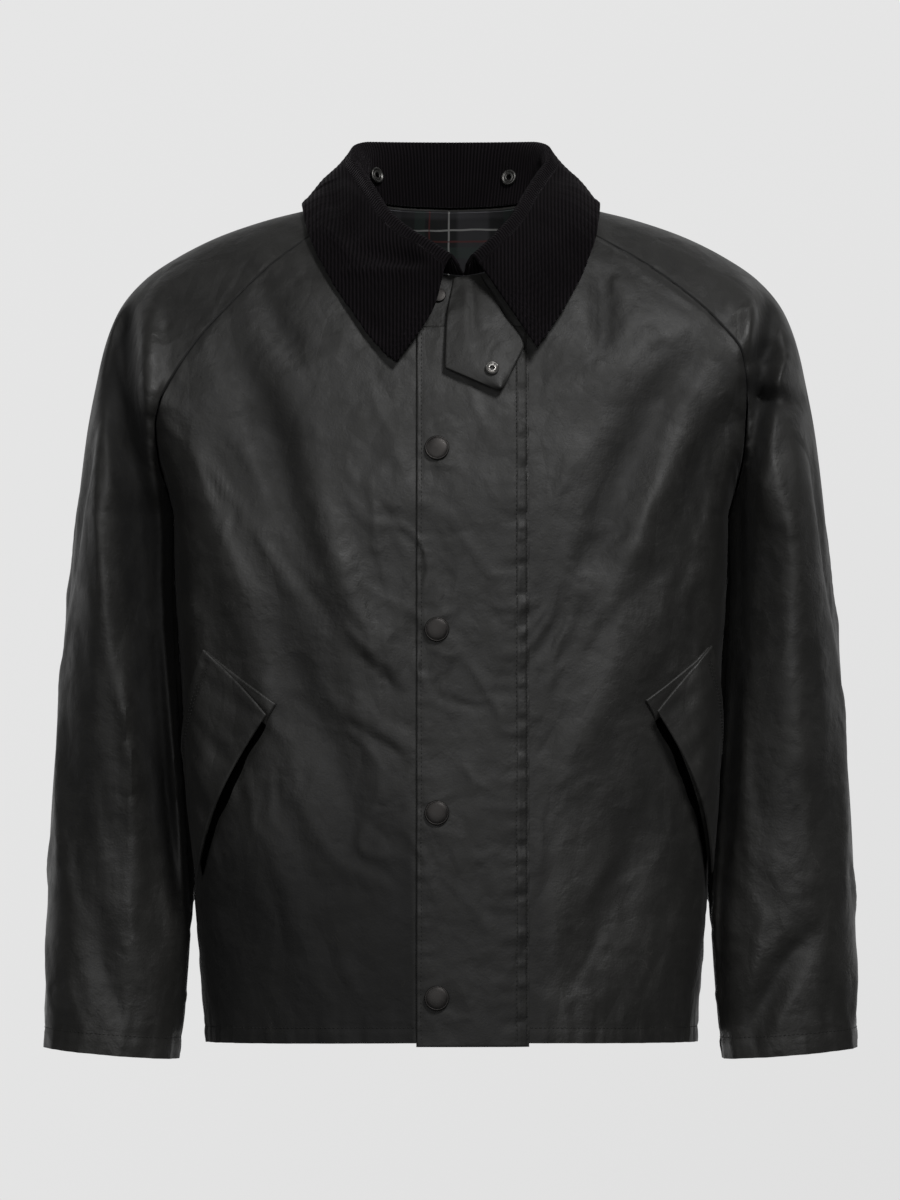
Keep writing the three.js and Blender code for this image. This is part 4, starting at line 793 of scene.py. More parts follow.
def stitch_row(path, normals):
    """The corners of the beads on one row."""
    run = distance_along(path)
    middles = np.arange(STITCH["pitch"], run[-1] - STITCH["pitch"] / 2, STITCH["pitch"])

    def at(distance, data):
        return np.stack([np.interp(distance, run, data[:, k]) for k in range(3)], axis=1)

    half = STITCH["length"] / 2
    start, end, centre = at(middles - half, path), at(middles + half, path), at(middles, path)
    out = unit(at(middles, normals))
    side = unit(np.cross(end - start, out)) * STITCH["half"]
    rise = out * STITCH["rise"]
    beads = np.stack([start, centre + side, centre + rise * 1.3, centre - side, centre - rise, end], axis=1)
    return beads.reshape(-1, 3)


BEAD = np.array([(0, 2, 1), (0, 3, 2), (0, 4, 3), (0, 1, 4), (5, 1, 2), (5, 2, 3), (5, 3, 4), (5, 4, 1)])


def sew(name, rows):
    """One mesh of all the rows, each a path and the way out of the cloth along it."""
    points = np.concatenate([stitch_row(*row) for row in rows])
    beads = np.arange(len(points) // 6)[:, None, None] * 6
    mesh = bpy.data.meshes.new(name)
    mesh.from_pydata(to_frame(points).tolist(), [], (beads + BEAD).reshape(-1, 3).tolist())
    mesh.materials.append(THREAD)
    mesh.shade_smooth()
    piece = put_in(name, mesh)
    print(name, len(points) // 6, "stitches")


def on_torso(face, arc, z, off):
    """Points that stand off the torso's surface by a distance."""
    arc, z = np.broadcast_arrays(np.asarray(arc, float), np.asarray(z, float))
    return torso(face, arc, z) + torso_normal(face, arc, z) * np.asarray(off)[..., None]


def torso_row(face, arc, z, off):
    """A stitched line on the torso: its points on the creased cloth, and the way out of the cloth."""
    arc, z = np.broadcast_arrays(np.asarray(arc, float), np.asarray(z, float))
    return creased(on_torso(face, arc, z, off)), torso_normal(face, arc, z)


# %% [markdown]
# ## Fronts and back
# A raglan front has no shoulder seam: its top edge is the neckline and then the long slanted seam of the
# sleeve. Four edges bound the piece, the centre, the side, the hem, and neck and raglan together, and the grid
# between them is filled by Coons' rule, which blends the two pairs of edges and takes away the corners. That
# keeps the rows running with the hem below and with the seam above, as they do in sewn cloth.

# %% The cut of the fronts and the back
CLOSURE_X = 10
HEM = {"centre": -661, "side_rise": -8, "stitch": 12}
NECK_SHARE = 4 / 13


def hem_z(arc):
    return HEM["centre"] + HEM["side_rise"] * np.minimum(np.abs(arc) / 290, 1) ** 2


def neck_point(face, side, part):
    z = float(read(NECKLINE[face], "part", "z", part))
    if part >= 1:
        return edge_arc(face, side, z), z
    shift = CLOSURE_X * (1 - part) ** 2 if face == "front" else 0
    return arc_at_x(face, SIDES[side] * float(read(NECKLINE[face], "part", "out", part)) + shift, z), z


def panel_cut(face, side, centre, across, rise):
    inset = SIDES[side] * SEAM_GAP / 2
    end_z = hem_z(1e9) + (ARMPIT_Z - hem_z(1e9)) * rise
    end_arc = edge_arc(face, side, end_z) - inset
    start_z = hem_z(centre) + (neck_point(face, side, 0)[1] - hem_z(centre)) * rise
    bottom_arc = centre + (end_arc[0] - centre) * across
    bottom_z = start_z[0] + (end_z[0] - start_z[0]) * across**2
    top = []
    for part in across:
        if part < NECK_SHARE:
            top.append(neck_point(face, side, part / NECK_SHARE) if part > 0 else (centre, start_z[-1]))
        else:
            z = NECK_Z[face] + (ARMPIT_Z - NECK_Z[face]) * ((part - NECK_SHARE) / (1 - NECK_SHARE)) ** 1.05
            top.append((edge_arc(face, side, z) - inset, z - SEAM_GAP / 2))
    top = np.array(top, float)
    u, w = across[None, :], rise[:, None]
    cut = []
    for low, high, left, right in [
        (bottom_arc, top[:, 0], np.full(len(rise), float(centre)), end_arc),
        (bottom_z, top[:, 1], start_z, end_z),
    ]:
        straight = low[None] * (1 - w) + high[None] * w
        sides = left[:, None] * (1 - u) + right[:, None] * u
        corners = (low[0] * (1 - u) + low[-1] * u) * (1 - w) + (high[0] * (1 - u) + high[-1] * u) * w
        cut.append(straight + sides - corners)
    return np.stack(cut, axis=-1)


def raglan_line(face, side, count=160):
    z = np.linspace(NECK_Z[face], ARMPIT_Z, count)
    return torso(face, edge_arc(face, side, z), z)


def side_line(side, count=160):
    z = np.linspace(ARMPIT_Z, hem_z(1e9), count)
    return torso("front", edge_arc("front", side, z), z)


def seam_shade(from_seam):
    """How much painted shade darkens the groove of a seam."""
    return 30 * (1 - smoothstep(from_seam, 0.5, 1.6))


def panel_relief(face, arc, z, seams):
    """How far the cloth's outer and inner side stand off the torso, and how far the nearest seam is. There is a
    groove at each seam and a turned and stitched hem, with the small puckers that sewing leaves beside both."""
    above_hem = z - hem_z(arc)
    stitched = bell(above_hem - HEM["stitch"], 1.6)
    seam = np.minimum.reduce([distance_to(torso(face, arc, z), line) for line in seams])
    puckers = uneven(arc, (17, 0.4), (9.3, 0.3), (41, 0.5)) * bell(above_hem, 22)
    waves = uneven(z + arc * 0.7, (23, 0.4), (12.7, 0.25), (57, 0.4))
    pull = waves * bell(seam, 20) * smoothstep(seam, 1, 6)
    groove = 0.6 * (1 - smoothstep(seam, 0.1, 1.2))
    turned = 0.9 * (1 - smoothstep(above_hem, HEM["stitch"] - 1, HEM["stitch"] + 2))
    outer = puckers + pull - groove - 0.5 * stitched + 0.3 * turned
    return outer, puckers + pull - 0.4 * groove - CLOTH - turned, seam


def panel_wall(name, face, cut, seams, materials):
    arc, z = cut[..., 0], cut[..., 1]
    far, near, seam = panel_relief(face, arc, z, seams)
    outer, inner = on_torso(face, arc, z, far), on_torso(face, arc, z, near)
    return wall(name, outer, inner, cut, materials, painted_shade=seam_shade(seam))


rise_steps, front_steps = steps(640, 3.2), steps(300, 3.2)
seams = {("front", side): [raglan_line("front", side), side_line(side)] for side in SIDES}
seams["back", "both"] = [raglan_line("back", side) for side in SIDES] + [side_line(side) for side in SIDES]
for side, sign in SIDES.items():
    cut = panel_cut("front", side, CLOSURE_X + sign * SEAM_GAP / 2, front_steps, rise_steps)
    piece = panel_wall("cloth_front_" + side, "front", cut, seams["front", side], [WAX, CHECK])
    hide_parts("front_" + side)

halves = [panel_cut("back", side, 0.0, steps(300, 4.4, fine_from=False), steps(640, 4.4)) for side in SIDES]
back_cut = np.concatenate([halves[0][:, :0:-1], halves[1]], axis=1)
back = panel_wall("cloth_back", "back", back_cut, seams["back", "both"], [WAX, CHECK])
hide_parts("back")

hem_rows = []
for face, ends in (("front", [(-262, 9), (11, 262)]), ("back", [(-258, 258)])):
    for arc in (np.linspace(a, b, int(abs(b - a) / 2)) for a, b in ends):
        z = hem_z(arc) + HEM["stitch"]
        side = "both" if face == "back" else ("right" if arc[0] < 0 else "left")
        off = panel_relief(face, arc[None], z[None], seams[face, side])[0][0]
        hem_rows.append(torso_row(face, arc, z, off + STITCH["off"]))
sew("hem_stitches", hem_rows)

# %% [markdown]
# ## Sleeves
# A raglan sleeve runs from the neck to the cuff in one piece. It is laid here as a row of lines, each crossing
# from the front seam over the shoulder or the arm to the back seam. Every line is a pair of Bezier curves that
# leave the seam in the cloth's own direction, so the shoulder flows into the body, and at the armpit the
# direction turns until the cloth folds back on itself. Below the armpit the lines close into a tube.

# %% Sleeves
SLEEVE_HEAD = table(
    "front back out_x out_y out_z lift fold seam_pull out_pull",
    (-6, 4, 79, 4, 9, 75, 0, 11, 12), (-20, -6, 108, 4, -2, 68, 0, 16, 16), (-42, -22, 145, 4, -11.5, 60, 0, 24, 23),
    (-66, -46, 183.5, 4, -24.5, 52, 0, 32, 30), (-92, -78, 218, 4, -41.5, 44, 0, 38, 36),
    (-118, -112, 245.5, 4, -60.5, 34, 0, 40, 42), (-140, -142, 265, 4, -84, 22, 0.2, 38, 48),
    (-160, -168, 277, 4, -114, 10, 0.6, 36, 58), (-182, -192, 284, 4, -145, 0, 0.85, 54, 72),
    (-206, -214, 290.5, 3, -180, 0, 0.95, 80, 92), (-230, -234, 295, 2, -215, 0, 0.99, 106, 110),
    (-248, -248, 298.5, 1, -248, 0, 1, 122, 122),
)  # fmt: skip
ARM = table(
    "inner_x inner_z out_x out_z y half_depth", (223, -300, 303, -298, 0, 88), (221, -360, 309.5, -357, -1, 83),
    (216.5, -428, 315, -424, -3, 76), (212, -500, 320, -495, -6, 67), (208, -570, 323, -564, -10, 58),
    (211, -628, 324.5, -621, -14, 50), (216.5, -681, 324, -672, -17, 43),
)  # fmt: skip
PINCH = 0.12
CUFF_STITCH = 16
ARM_MIDDLE = {"x": 262, "z": -240}
ARMPIT, CUFF = len(SLEEVE_HEAD["front"]) - 1, len(SLEEVE_HEAD["front"]) + len(ARM["y"]) - 1
rows = len(ARM["y"])
down_arm = {
    "front": np.full(rows, ARMPIT_Z), "back": np.full(rows, ARMPIT_Z), "out_x": ARM["out_x"], "out_y": ARM["y"],
    "out_z": ARM["out_z"], "lift": np.zeros(rows), "fold": np.ones(rows),
    "seam_pull": ARM["half_depth"] * 4 / 3, "out_pull": ARM["half_depth"] * 4 / 3,
}  # fmt: skip
STATIONS = {key: np.concatenate([SLEEVE_HEAD[key], down_arm[key]]) for key in down_arm}
STATIONS["station"] = np.arange(CUFF + 1.0)
INNER = {
    "station": np.arange(ARMPIT, CUFF + 1.0),
    "x": np.concatenate([[221 + 2 * SEAM_GAP], ARM["inner_x"]]),
    "y": np.concatenate([[0], ARM["y"]]),
    "z": np.concatenate([[ARMPIT_Z - SEAM_GAP], ARM["inner_z"]]),
}


def seam_end(side, face, station, value):
    """Where a line across the sleeve starts, the way it leaves the seam, the cloth's way out there, and how far
    the seam is folded: 0 where cloth runs smoothly on, 1 where it turns back on itself."""
    sign = SIDES[side]
    if station > ARMPIT:
        start = np.array([float(read(INNER, "station", k, station)) for k in "xyz"]) * (sign, 1, 1)
        spread = PINCH * max(0, 1 - (station - ARMPIT) / 4)
        return start, np.array([spread * sign, FACES[face], 0]), np.array([-sign, 0.0, 0.0]), 1.0
    z, lift, fold = value(face), math.radians(value("lift")), value("fold")
    edge = float(edge_arc(face, side, z))
    here = torso(face, edge, z)
    normal = torso_normal(face, edge - sign * 2, z)
    out = unit(here - torso(face, edge - sign * 3, z))
    up = unit(torso(face, edge, z + 2) - torso(face, edge, z - 2))
    smooth = unit(out * math.cos(lift) + up * math.sin(lift))
    way = unit(smooth * (1 - fold) + np.array([PINCH * sign, FACES[face], 0]) * fold)
    return here + normal * 2 * SEAM_GAP * fold**2, way, normal, fold


def sleeve_line(side, station, count=60):
    """One line across the sleeve from the front seam to the back seam, and what its two ends are like."""
    def value(column):
        return float(read(STATIONS, "station", column, station))

    out = np.array([SIDES[side] * value("out_x"), value("out_y"), value("out_z")])
    halves, ends = [], []
    t = np.linspace(0, 1, count)[:, None]
    for face in FACES:
        start, way, normal, fold = seam_end(side, face, station, value)
        first, pulled = start + way * value("seam_pull"), out + (0, FACES[face] * value("out_pull"), 0)
        half = start * (1 - t) ** 3 + 3 * first * t * (1 - t) ** 2 + 3 * pulled * t**2 * (1 - t) + out * t**3
        halves.append(half)
        ends.append((normal, fold))
    return np.concatenate([halves[0], halves[1][-2::-1]]), ends


def resample(line, parts, inset=0.0):
    """Points at the given parts of a line, with its ends left out by an inset, and the line's length."""
    run = distance_along(line)
    at = inset + (run[-1] - 2 * inset) * parts
    return np.stack([np.interp(at, run, line[:, k]) for k in range(3)], axis=1), run[-1]


def grid_normals(grid, outward=None):
    """The way out of a grid at each point, turned to the outward side where that is given."""
    normal = unit(np.cross(np.gradient(grid, axis=0), np.gradient(grid, axis=1)))
    if outward is not None:
        normal = normal * np.sign(np.einsum("ijk,ijk->ij", normal, outward))[..., None]
    return normal


def pressed(grid, sign):
    """The arm's inner side behind the side seam lies close against the back of the body."""
    x, y, z = np.moveaxis(grid, -1, 0)
    x = sign * x
    seam = read(SIDE_SEAM, "z", "x", np.clip(z, -690, ARMPIT_Z))
    depth, power = read(TORSO, "z", "back", z), read(TORSO, "z", "back_square", z)
    body = seam * (1 - np.clip(y / depth, 0, 0.95) ** power) ** (1 / power)
    share = smoothstep(-z, 238, 248) * (1 - smoothstep(-z, 540, 600))
    share = share * smoothstep(y, 0, 6) * (1 - smoothstep(y, 44, 74))
    x = x + np.minimum(body + 1.4 - x, 0) * share * smoothstep(264 - x, 0, 16)
    return np.stack([sign * x, y, z], axis=-1)


def sleeve(side):
    """The sleeve's outer and inner grid, its cut, the row of stitches at the cuff, and the shade at its seams."""
    sign = SIDES[side]
    rough = np.linspace(0, CUFF, 200)
    columns = [[float(read(STATIONS, "station", column, k)) for k in rough] for column in ("out_x", "out_y", "out_z")]
    run = distance_along(np.stack(columns, axis=1) * (sign, 1, 1))
    down, around = steps(run[-1], 3.6), steps(330, 3.6)
    lines = [sleeve_line(side, station) for station in np.interp(down * run[-1], run, rough)]
    made = [resample(line, around, SEAM_GAP / 2) for line, _ in lines]
    grid, lengths = np.array([points for points, _ in made]), np.array([length for _, length in made])
    grid = pressed(grid, sign)
    x, y, z = np.moveaxis(grid, -1, 0)
    outward = np.stack([x - sign * ARM_MIDDLE["x"], y, np.maximum(z - ARM_MIDDLE["z"], 0)], axis=-1)
    own = grid_normals(grid, outward)
    shared = own.copy()
    for k, column in enumerate((0, -1)):
        seam = np.array([ends[k][0] for _, ends in lines])
        fold = np.array([ends[k][1] for _, ends in lines])[:, None, None]
        from_seam = np.abs(around - around[column])[None, :] * lengths[:, None]
        near = bell(from_seam, 4)[..., None] * (1 - fold)
        shared = shared * (1 - near) + seam[:, None, :] * near
    shared = unit(shared)
    to_cuff = (run[-1] * (1 - down))[:, None]
    from_seam = np.minimum(around, 1 - around)[None, :] * lengths[:, None]
    circle = around[None, :] * lengths[:, None]
    stitched = bell(to_cuff - CUFF_STITCH, 1.6)
    puckers = uneven(circle + 7 * sign, (15, 0.4), (8.7, 0.25), (37, 0.5)) * bell(to_cuff, 30)
    waves = uneven(to_cuff * np.ones_like(circle), (21, 0.35), (11.9, 0.25), (61, 0.4))
    pull = waves * bell(from_seam, 18) * smoothstep(from_seam, 1, 6)
    groove = 0.6 * (1 - smoothstep(from_seam, 0.1, 1.2))
    turned = 0.9 * (1 - smoothstep(to_cuff, CUFF_STITCH - 1, CUFF_STITCH + 2))
    far = puckers + pull - groove - 0.5 * stitched + 0.3 * turned
    outer = grid + own * far[..., None]
    inner = grid + shared * (puckers + pull - CLOTH - turned)[..., None]
    cut = np.stack([(around[None, :] - 0.5) * lengths[:, None], np.broadcast_to(-to_cuff, circle.shape)], axis=-1)
    row = int(np.argmin(np.abs(to_cuff[:, 0] - CUFF_STITCH)))
    stitches = (creased(outer[row, 1:-1] + own[row, 1:-1] * STITCH["off"]), own[row, 1:-1])
    return outer, inner, cut, stitches, seam_shade(from_seam)


cuff_rows = []
for side in SIDES:
    outer, inner, cut, stitches, shade = sleeve(side)
    piece = wall("cloth_sleeve_" + side, outer, inner, cut, [WAX, SATIN], painted_shade=shade)
    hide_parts("sleeve_" + side)
    cuff_rows.append(stitches)
sew("cuff_stitches", cuff_rows)

# %% [markdown]
# ## Fly, pockets and throat tab
# These pieces lie on the fronts, so they are cut on the same surface and set off it by their own thickness. A
# folded edge isn't square: the cloth rolls over inside itself. Each free edge here rolls down over the last
# millimetre and a half, and that little curve is what draws the bright line beside a dark shadow.

# %% The fly
FLY = {"right": -27, "left": 61, "top": -101, "bottom": -664, "rise": 1}
FLY_ROWS = (51.2, 59.2, -23.2)
FLY_LEFT_STEPS = np.array([12, 11, 10.2, 9.4, 8.4, 7, 5.5, 4, 2.8, 2, 1.3, 0.6, 0])


def rolled(distance, radius=1.4):
    """The share of a piece's thickness that is left at a distance from its folded edge."""
    near = np.clip(distance / radius, 0, 1)
    return 0.45 + 0.55 * np.sqrt(1 - (1 - near) ** 2)


def laid_on(name, node, arc, z, near, thick, edge, rests=()):
    """A piece that lies on a front, from how near its inner side is, how thick it is and how far its edge is."""
    near, thick = near + 0 * arc, thick + 0 * arc
    cut = np.stack([arc, z], axis=-1)
    outer = on_torso("front", arc, z, near + thick * rolled(edge))
    inner = on_torso("front", arc, z, near + thick * 0.45 * (1 - rolled(edge)))
    piece = wall(name, outer, inner, cut, [WAX])
    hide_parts(node)
    list(rests)
    return piece


def fly_relief(arc, z):
    """The fly's outer side above the front: puckers between the two sewn rows, and tucks at its right edge."""
    band = smoothstep(arc, 50.3, 52) * (1 - smoothstep(arc, 58.6, 60))
    bumps = uneven(z, (12.3, 0.42), (8.1, 0.3), (19.7, 0.34), (31, 0.25))
    beside = bell(arc - 55, 15) * uneven(z + 4, (12.3, 0.25), (19.7, 0.3), (43, 0.3))
    edge = bell(arc - FLY["right"], 12) * uneven(z, (9.7, 0.22), (15.1, 0.25), (37, 0.3))
    rows = sum(bell(arc - at, 0.9) for at in FLY_ROWS)
    flush = 2.1 * smoothstep(arc, 49, 60.5)
    return band * (0.7 + 0.8 * bumps) + beside + edge - 0.5 * rows - flush


tall = FLY["top"] - FLY["bottom"]
rise = FLY["bottom"] + tall * steps(tall, 2.6)
across = np.concatenate([FLY["right"] + 83.5 * steps(83.5, 3.0)[:-9], FLY["left"] - FLY_LEFT_STEPS])
arc, z = np.meshgrid(np.unique(across), rise)
fly_edge = np.minimum.reduce([arc - FLY["right"], FLY["left"] - arc, z - FLY["bottom"], FLY["top"] - z])
near = LAYER_GAP - 0.6 * smoothstep(arc, 49, 60.5)
thick = LAYER_GAP - near + CLOTH + fly_relief(arc, z)
laid_on("cloth_fly", "fly", arc, z, near, thick, fly_edge, rests=["front_right", "front_left"])

fly_z = np.linspace(FLY["bottom"] + 3, FLY["top"] - 3, 280)
fly_rows = []
for at in FLY_ROWS:
    off = LAYER_GAP + CLOTH + fly_relief(np.full(280, at), fly_z) + STITCH["off"]
    fly_rows.append(torso_row("front", np.full(280, at) + 0.15 * np.sin(fly_z / 19), fly_z, off))
sew("fly_stitches", fly_rows)

# %% [markdown]
# ## Pockets
# Each pocket is a welt with a flap over it. Both hang from the same slanted corner, so one function lays them
# out. The flap is held at its outer edge and stands off more and more toward its free edge. The mouth of the
# pocket is the strip of the welt beside the free edge, and its faces take a near-black painted shade.

# %% The pockets
FLAP = {"width": 78, "hinge": 96, "edge": 165, "tilt": 33, "lift": 9, "sag": 10}
FLAP_CORNER = {"right": (-136, -397), "left": (153, -394)}
FLAP_ROWS = (0.1, 0.15)
FLAP_LENGTH = 150


def slanted(side, inset, along, across):
    """A pocket piece's points: it hangs from its outer edge, and its free edge slants down and out."""
    sign, tilt = SIDES[side], math.radians(FLAP["tilt"])
    arc0, z0 = FLAP_CORNER[side]
    w = inset + (FLAP["width"] - 2 * inset) * (1 - across)
    length = FLAP["hinge"] + (FLAP["edge"] - FLAP["hinge"]) * across
    d = inset + (length - 2 * inset) * along
    arc = arc0 + sign * (math.sin(tilt) * d + math.cos(tilt) * w)
    edge = np.minimum.reduce([w - inset, (1 - along) * length, along * length])
    edge = np.minimum(edge, FLAP["width"] - inset - w + 9 * (across < 0.1))
    return arc, z0 - math.cos(tilt) * d + math.sin(tilt) * w, edge


def flap_lift(along, across):
    """How far the flap stands off the welt."""
    return FLAP["lift"] * across**1.5 * (0.55 + 0.45 * np.cos(math.pi * (along - 0.2)))


across, along = np.meshgrid(steps(FLAP["width"], 2.6), steps(FLAP_LENGTH, 2.6))
pocket_rows = []
for side, sign in SIDES.items():
    arc, z, edge = slanted(side, 1, along, across)
    mouth = smoothstep(across, 0.88, 0.92) * smoothstep(along, 0.09, 0.14)
    out = 2.0 + 1.5 * uneven(FLAP_LENGTH * along, (61, 0.7), (29, 0.4))
    arc = arc - sign * mouth * smoothstep(across, 0.9, 1) * out * np.sin(math.pi * np.clip(along, 0, 1)) ** 0.4
    thick = CLOTH - 1.9 * mouth + 0.3 * bell(along * FLAP_LENGTH - 6, 2)
    name, node, rests = "cloth_welt_" + side, "pocket_welt_" + side, ["front_" + side]
    welt = laid_on(name, node, arc, z, LAYER_GAP, thick, edge, rests)
    welt.data.materials.append(POCKET_SHADE)
    # Painted shade: the faces of the mouth strip take the near-black pocket material.
    inside = (mouth[:-1, :-1] > 0.5).ravel()
    slots = np.zeros(len(welt.data.polygons), int)
    slots[: len(inside)] = inside
    welt.data.polygons.foreach_set("material_index", slots)
    arc, z, edge = slanted(side, 0, along, across)
    sag = FLAP["sag"] * across**2 * np.maximum(0, 1 - 2.2 * along)
    tilt = math.radians(FLAP["tilt"])
    arc, z = arc + sign * math.sin(tilt) * sag, z - math.cos(tilt) * sag
    near = 2 * LAYER_GAP + CLOTH + flap_lift(along, across)
    ripple = uneven(FLAP_LENGTH * along + 30 * across, (47, 0.9), (23, 0.5)) * across * smoothstep(edge, 0, 10)
    dent = -1.4 * bell(across - 0.25, 0.13) * smoothstep(along, 0.02, 0.2)
    held_down = -0.9 * bell(across - 0.1, 0.03) * smoothstep(along, 0.04, 0.07)
    near, thick = near + ripple * 0.8 + dent * 0.6, CLOTH + held_down * 0.9
    name, node, rests = "cloth_flap_" + side, "pocket_flap_" + side, ["pocket_welt_" + side]
    laid_on(name, node, arc, z, near, thick, edge, rests)
    part = np.linspace(0.06, 0.94, 120)
    for at in FLAP_ROWS:
        row_arc, row_z, _ = slanted(side, 0, part, np.full(120, at))
        off = 2 * LAYER_GAP + 2 * CLOTH + flap_lift(part, at)
        pocket_rows.append(torso_row("front", row_arc, row_z, off + 0.2))
sew("pocket_stitches", pocket_rows)

# %% [markdown]
# ## Throat tab
# The tab comes out from under the left leaf of the collar and hangs over the fly. Its outline is a table of its
# two edges, which almost meet at the bottom, and two soft folds cross it.

# %% The throat tab
TAB = {"lift": 5, "warp": 3, "width": 56, "length": 92}
TAB_OUTLINE = table(
    "part right_x right_z left_x left_z", (0, 2, -63, 23, -60), (0.5, -4, -104, 42, -95), (0.8, -5, -137, 57, -121),
    (1, 37, -155, 41, -153),
)  # fmt: skip


def tab_points(along, across):
    def value(column):
        curve = read(TAB_OUTLINE, "part", column, np.minimum(along, 0.8))
        corner, end = TAB_OUTLINE[column][2:]
        return np.where(along <= 0.8, curve, corner + (end - corner) * (along - 0.8) / 0.2)

    arc = value("right_x") + (value("left_x") - value("right_x")) * across
    z = value("right_z") + (value("left_z") - value("right_z")) * across
    over_fly = (LAYER_GAP + CLOTH + FLY["rise"]) * smoothstep(along, 0, 0.4)
    lift = SEAM_GAP + over_fly + TAB["lift"] * along + TAB["warp"] * along * np.sin(math.pi * across)
    return arc, z, lift


wide, tall = TAB["width"], TAB["length"]
across, along = np.meshgrid(steps(wide, 1.5), steps(tall, 1.5))
arc, z, lift = tab_points(along, across)
edge = np.minimum.reduce([across * wide, (1 - across) * wide, (1 - along) * tall, along * tall + 3])
fold = -1.1 * bell(across - 0.62 + 0.3 * along, 0.09) * np.sin(math.pi * np.clip(along * 1.15, 0, 1))
fold += 0.8 * bell(across - 0.42 + 0.15 * along, 0.12) * np.sin(math.pi * along)
near, thick = lift + fold * smoothstep(edge, 0, 9), np.full_like(lift, CLOTH)
laid_on("cloth_tab", "throat_tab", arc, z, near, thick, edge, ["fly"])

# %% [markdown]
# ## Lining inside the nape
# Only the part of the lining that shows is made: a patch of the checked cotton inside the back of the neck. It
# is cut from the back's own points, a layer further in, so it can't wander away from the cloth that carries it.

# %% Lining piece
across, rise = np.linspace(0, 1, 101), np.linspace(0, 1, 161)
halves = [panel_cut("back", side, 0.0, across, rise)[rise >= 17 / 24][:, across <= 10 / 13] for side in SIDES]
lining_cut = np.concatenate([halves[0][:, :0:-1], halves[1]], axis=1)
arc, z = lining_cut[..., 0], lining_cut[..., 1]
slack = 0.3 * uneven(arc, (33, 1), (19, 0.6)) * smoothstep(-z, 0, 20)
lining = wall(
    "cloth_lining", on_torso("back", arc, z, -CLOTH - LAYER_GAP - 0.5 + slack),
    on_torso("back", arc, z, -CLOTH - LAYER_GAP - 1.3 + slack), lining_cut, [CHECK],
)  # fmt: skip
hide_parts("back_lining")

# %% [markdown]
# ## Collar
# The collar is one strip of corduroy: up the inside of the neck as a stand, over a roll, and down outside as a
# leaf. Each line across it is a smooth curve through seven points, and the lines walk round the neck seam from
# the nape to the front. A shirt maker would cut a stand and a leaf; corduroy this soft is often cut in one.

# %% The collar's lines
COLLAR = table(
    "along roll_x roll_y roll_z roll_shift edge_x edge_y edge_z edge_shift",
    (0, 0, 82, 54, 0, 0, 110, -16, 0), (0.12, 37, 79, 54, 0, 47, 106, -16, 0), (0.24, 66, 66, 53.5, 0, 84, 90, -13, 0),
    (0.33, 77.5, 47, 49, 0, 105, 66, -5, 0), (0.43, 79, 24, 39, 0, 116, 34, 2, 0), (0.53, 71, 0, 25, 0, 119, 0, 0, 0),
    (0.63, 62, -24, 10, 0, 115, -44, -23, 1), (0.73, 52, -47, -7, 1, 102, -74, -56, 3),
    (0.82, 38, -67, -22, 3, 82, -95, -90, 6),
    (0.91, 23, -83, -34, 7, 64, -107, -115, 9), (1, 11, -94, -43, 9, 55, -113, -124, 12.5),
)  # fmt: skip
ROLL = {"half": 5, "drop": 6, "bulge": 5}
POINT = {"drop": 6, "lift": 5}
CORDUROY = 3
WALE = 2.9


def neck_seam(side):
    """The line round the neck from the nape to the front: the back's edge, the sleeve's top and the front's."""
    def on_neck(face):
        return [torso(face, *neck_point(face, side, part)) for part in np.linspace(0, 1, 17)]

    shoulder = sleeve_line(side, 0, 25)[0][::-1]
    return np.concatenate([np.array(on_neck("back")), shoulder[1:-1], np.array(on_neck("front"))[::-1]])


def through(points, stops):
    """A centripetal Catmull-Rom curve through points[k], each an array of places, read at the given stops."""
    count = len(points)
    ends = [2 * points[0] - points[1], *points, 2 * points[-1] - points[-2]]
    found = []
    for stop in stops:
        k = min(int(stop * (count - 1)), count - 2)
        t = stop * (count - 1) - k
        a, b, c, d = ends[k : k + 4]
        spans = (b - a, c - b, d - c)
        before, here, after = (np.sqrt(np.linalg.norm(span, axis=1, keepdims=True)) for span in spans)
        into = ((b - a) / before - (c - a) / (before + here) + (c - b) / here) * here
        out = ((c - b) / here - (d - b) / (here + after) + (d - c) / after) * here
        found.append(b + into * t + (3 * (c - b) - 2 * into - out) * t**2 + (2 * (b - c) + into + out) * t**3)
    return np.stack(found, axis=1)


def collar_lines(side, along, stops):
    sign = SIDES[side]

    def value(column):
        return read(COLLAR, "along", column, along)

    front = smoothstep(along, 0.7, 1)
    lift = POINT["lift"] * front if side == "left" else 0 * front
    foot = resample(neck_seam(side), along)[0] + (0, 0, SEAM_GAP + CORDUROY / 2)
    roll = np.stack([sign * value("roll_x") + value("roll_shift"), value("roll_y"), value("roll_z")], axis=1)
    edge_x = sign * value("edge_x") + value("edge_shift")
    frayed = uneven(along * 232 + 5 * sign, (2.9, 0.35), (7.3, 0.4), (19, 0.5))
    edge_z = value("edge_z") + sign * POINT["drop"] * front + frayed * along
    edge = np.stack([edge_x, value("edge_y") - lift, edge_z], axis=1)
    end = smoothstep(along, 0.84, 1)[:, None]
    roll = roll + end * (-3 * sign, -1, -3)
    away = unit((edge - roll) * (1, 1, 0))
    inside = roll - away * ROLL["half"] - (0, 0, ROLL["drop"])
    outside = roll + away * ROLL["half"] - (0, 0, ROLL["drop"] * 0.8)
    bulge = (ROLL["bulge"] * (1 - 0.9 * front))[:, None]
    middle = (outside + edge) / 2 + away * bulge * 0.5 + np.array([0, 0, 0.6]) * bulge
    if side == "right":
        middle = middle + end * (9, -1.5, 2)
    return through([foot, (foot + inside) / 2, inside, roll, outside, middle, edge], stops)


print("the neck seam on one side:", round(float(distance_along(neck_seam("left"))[-1])), "mm")

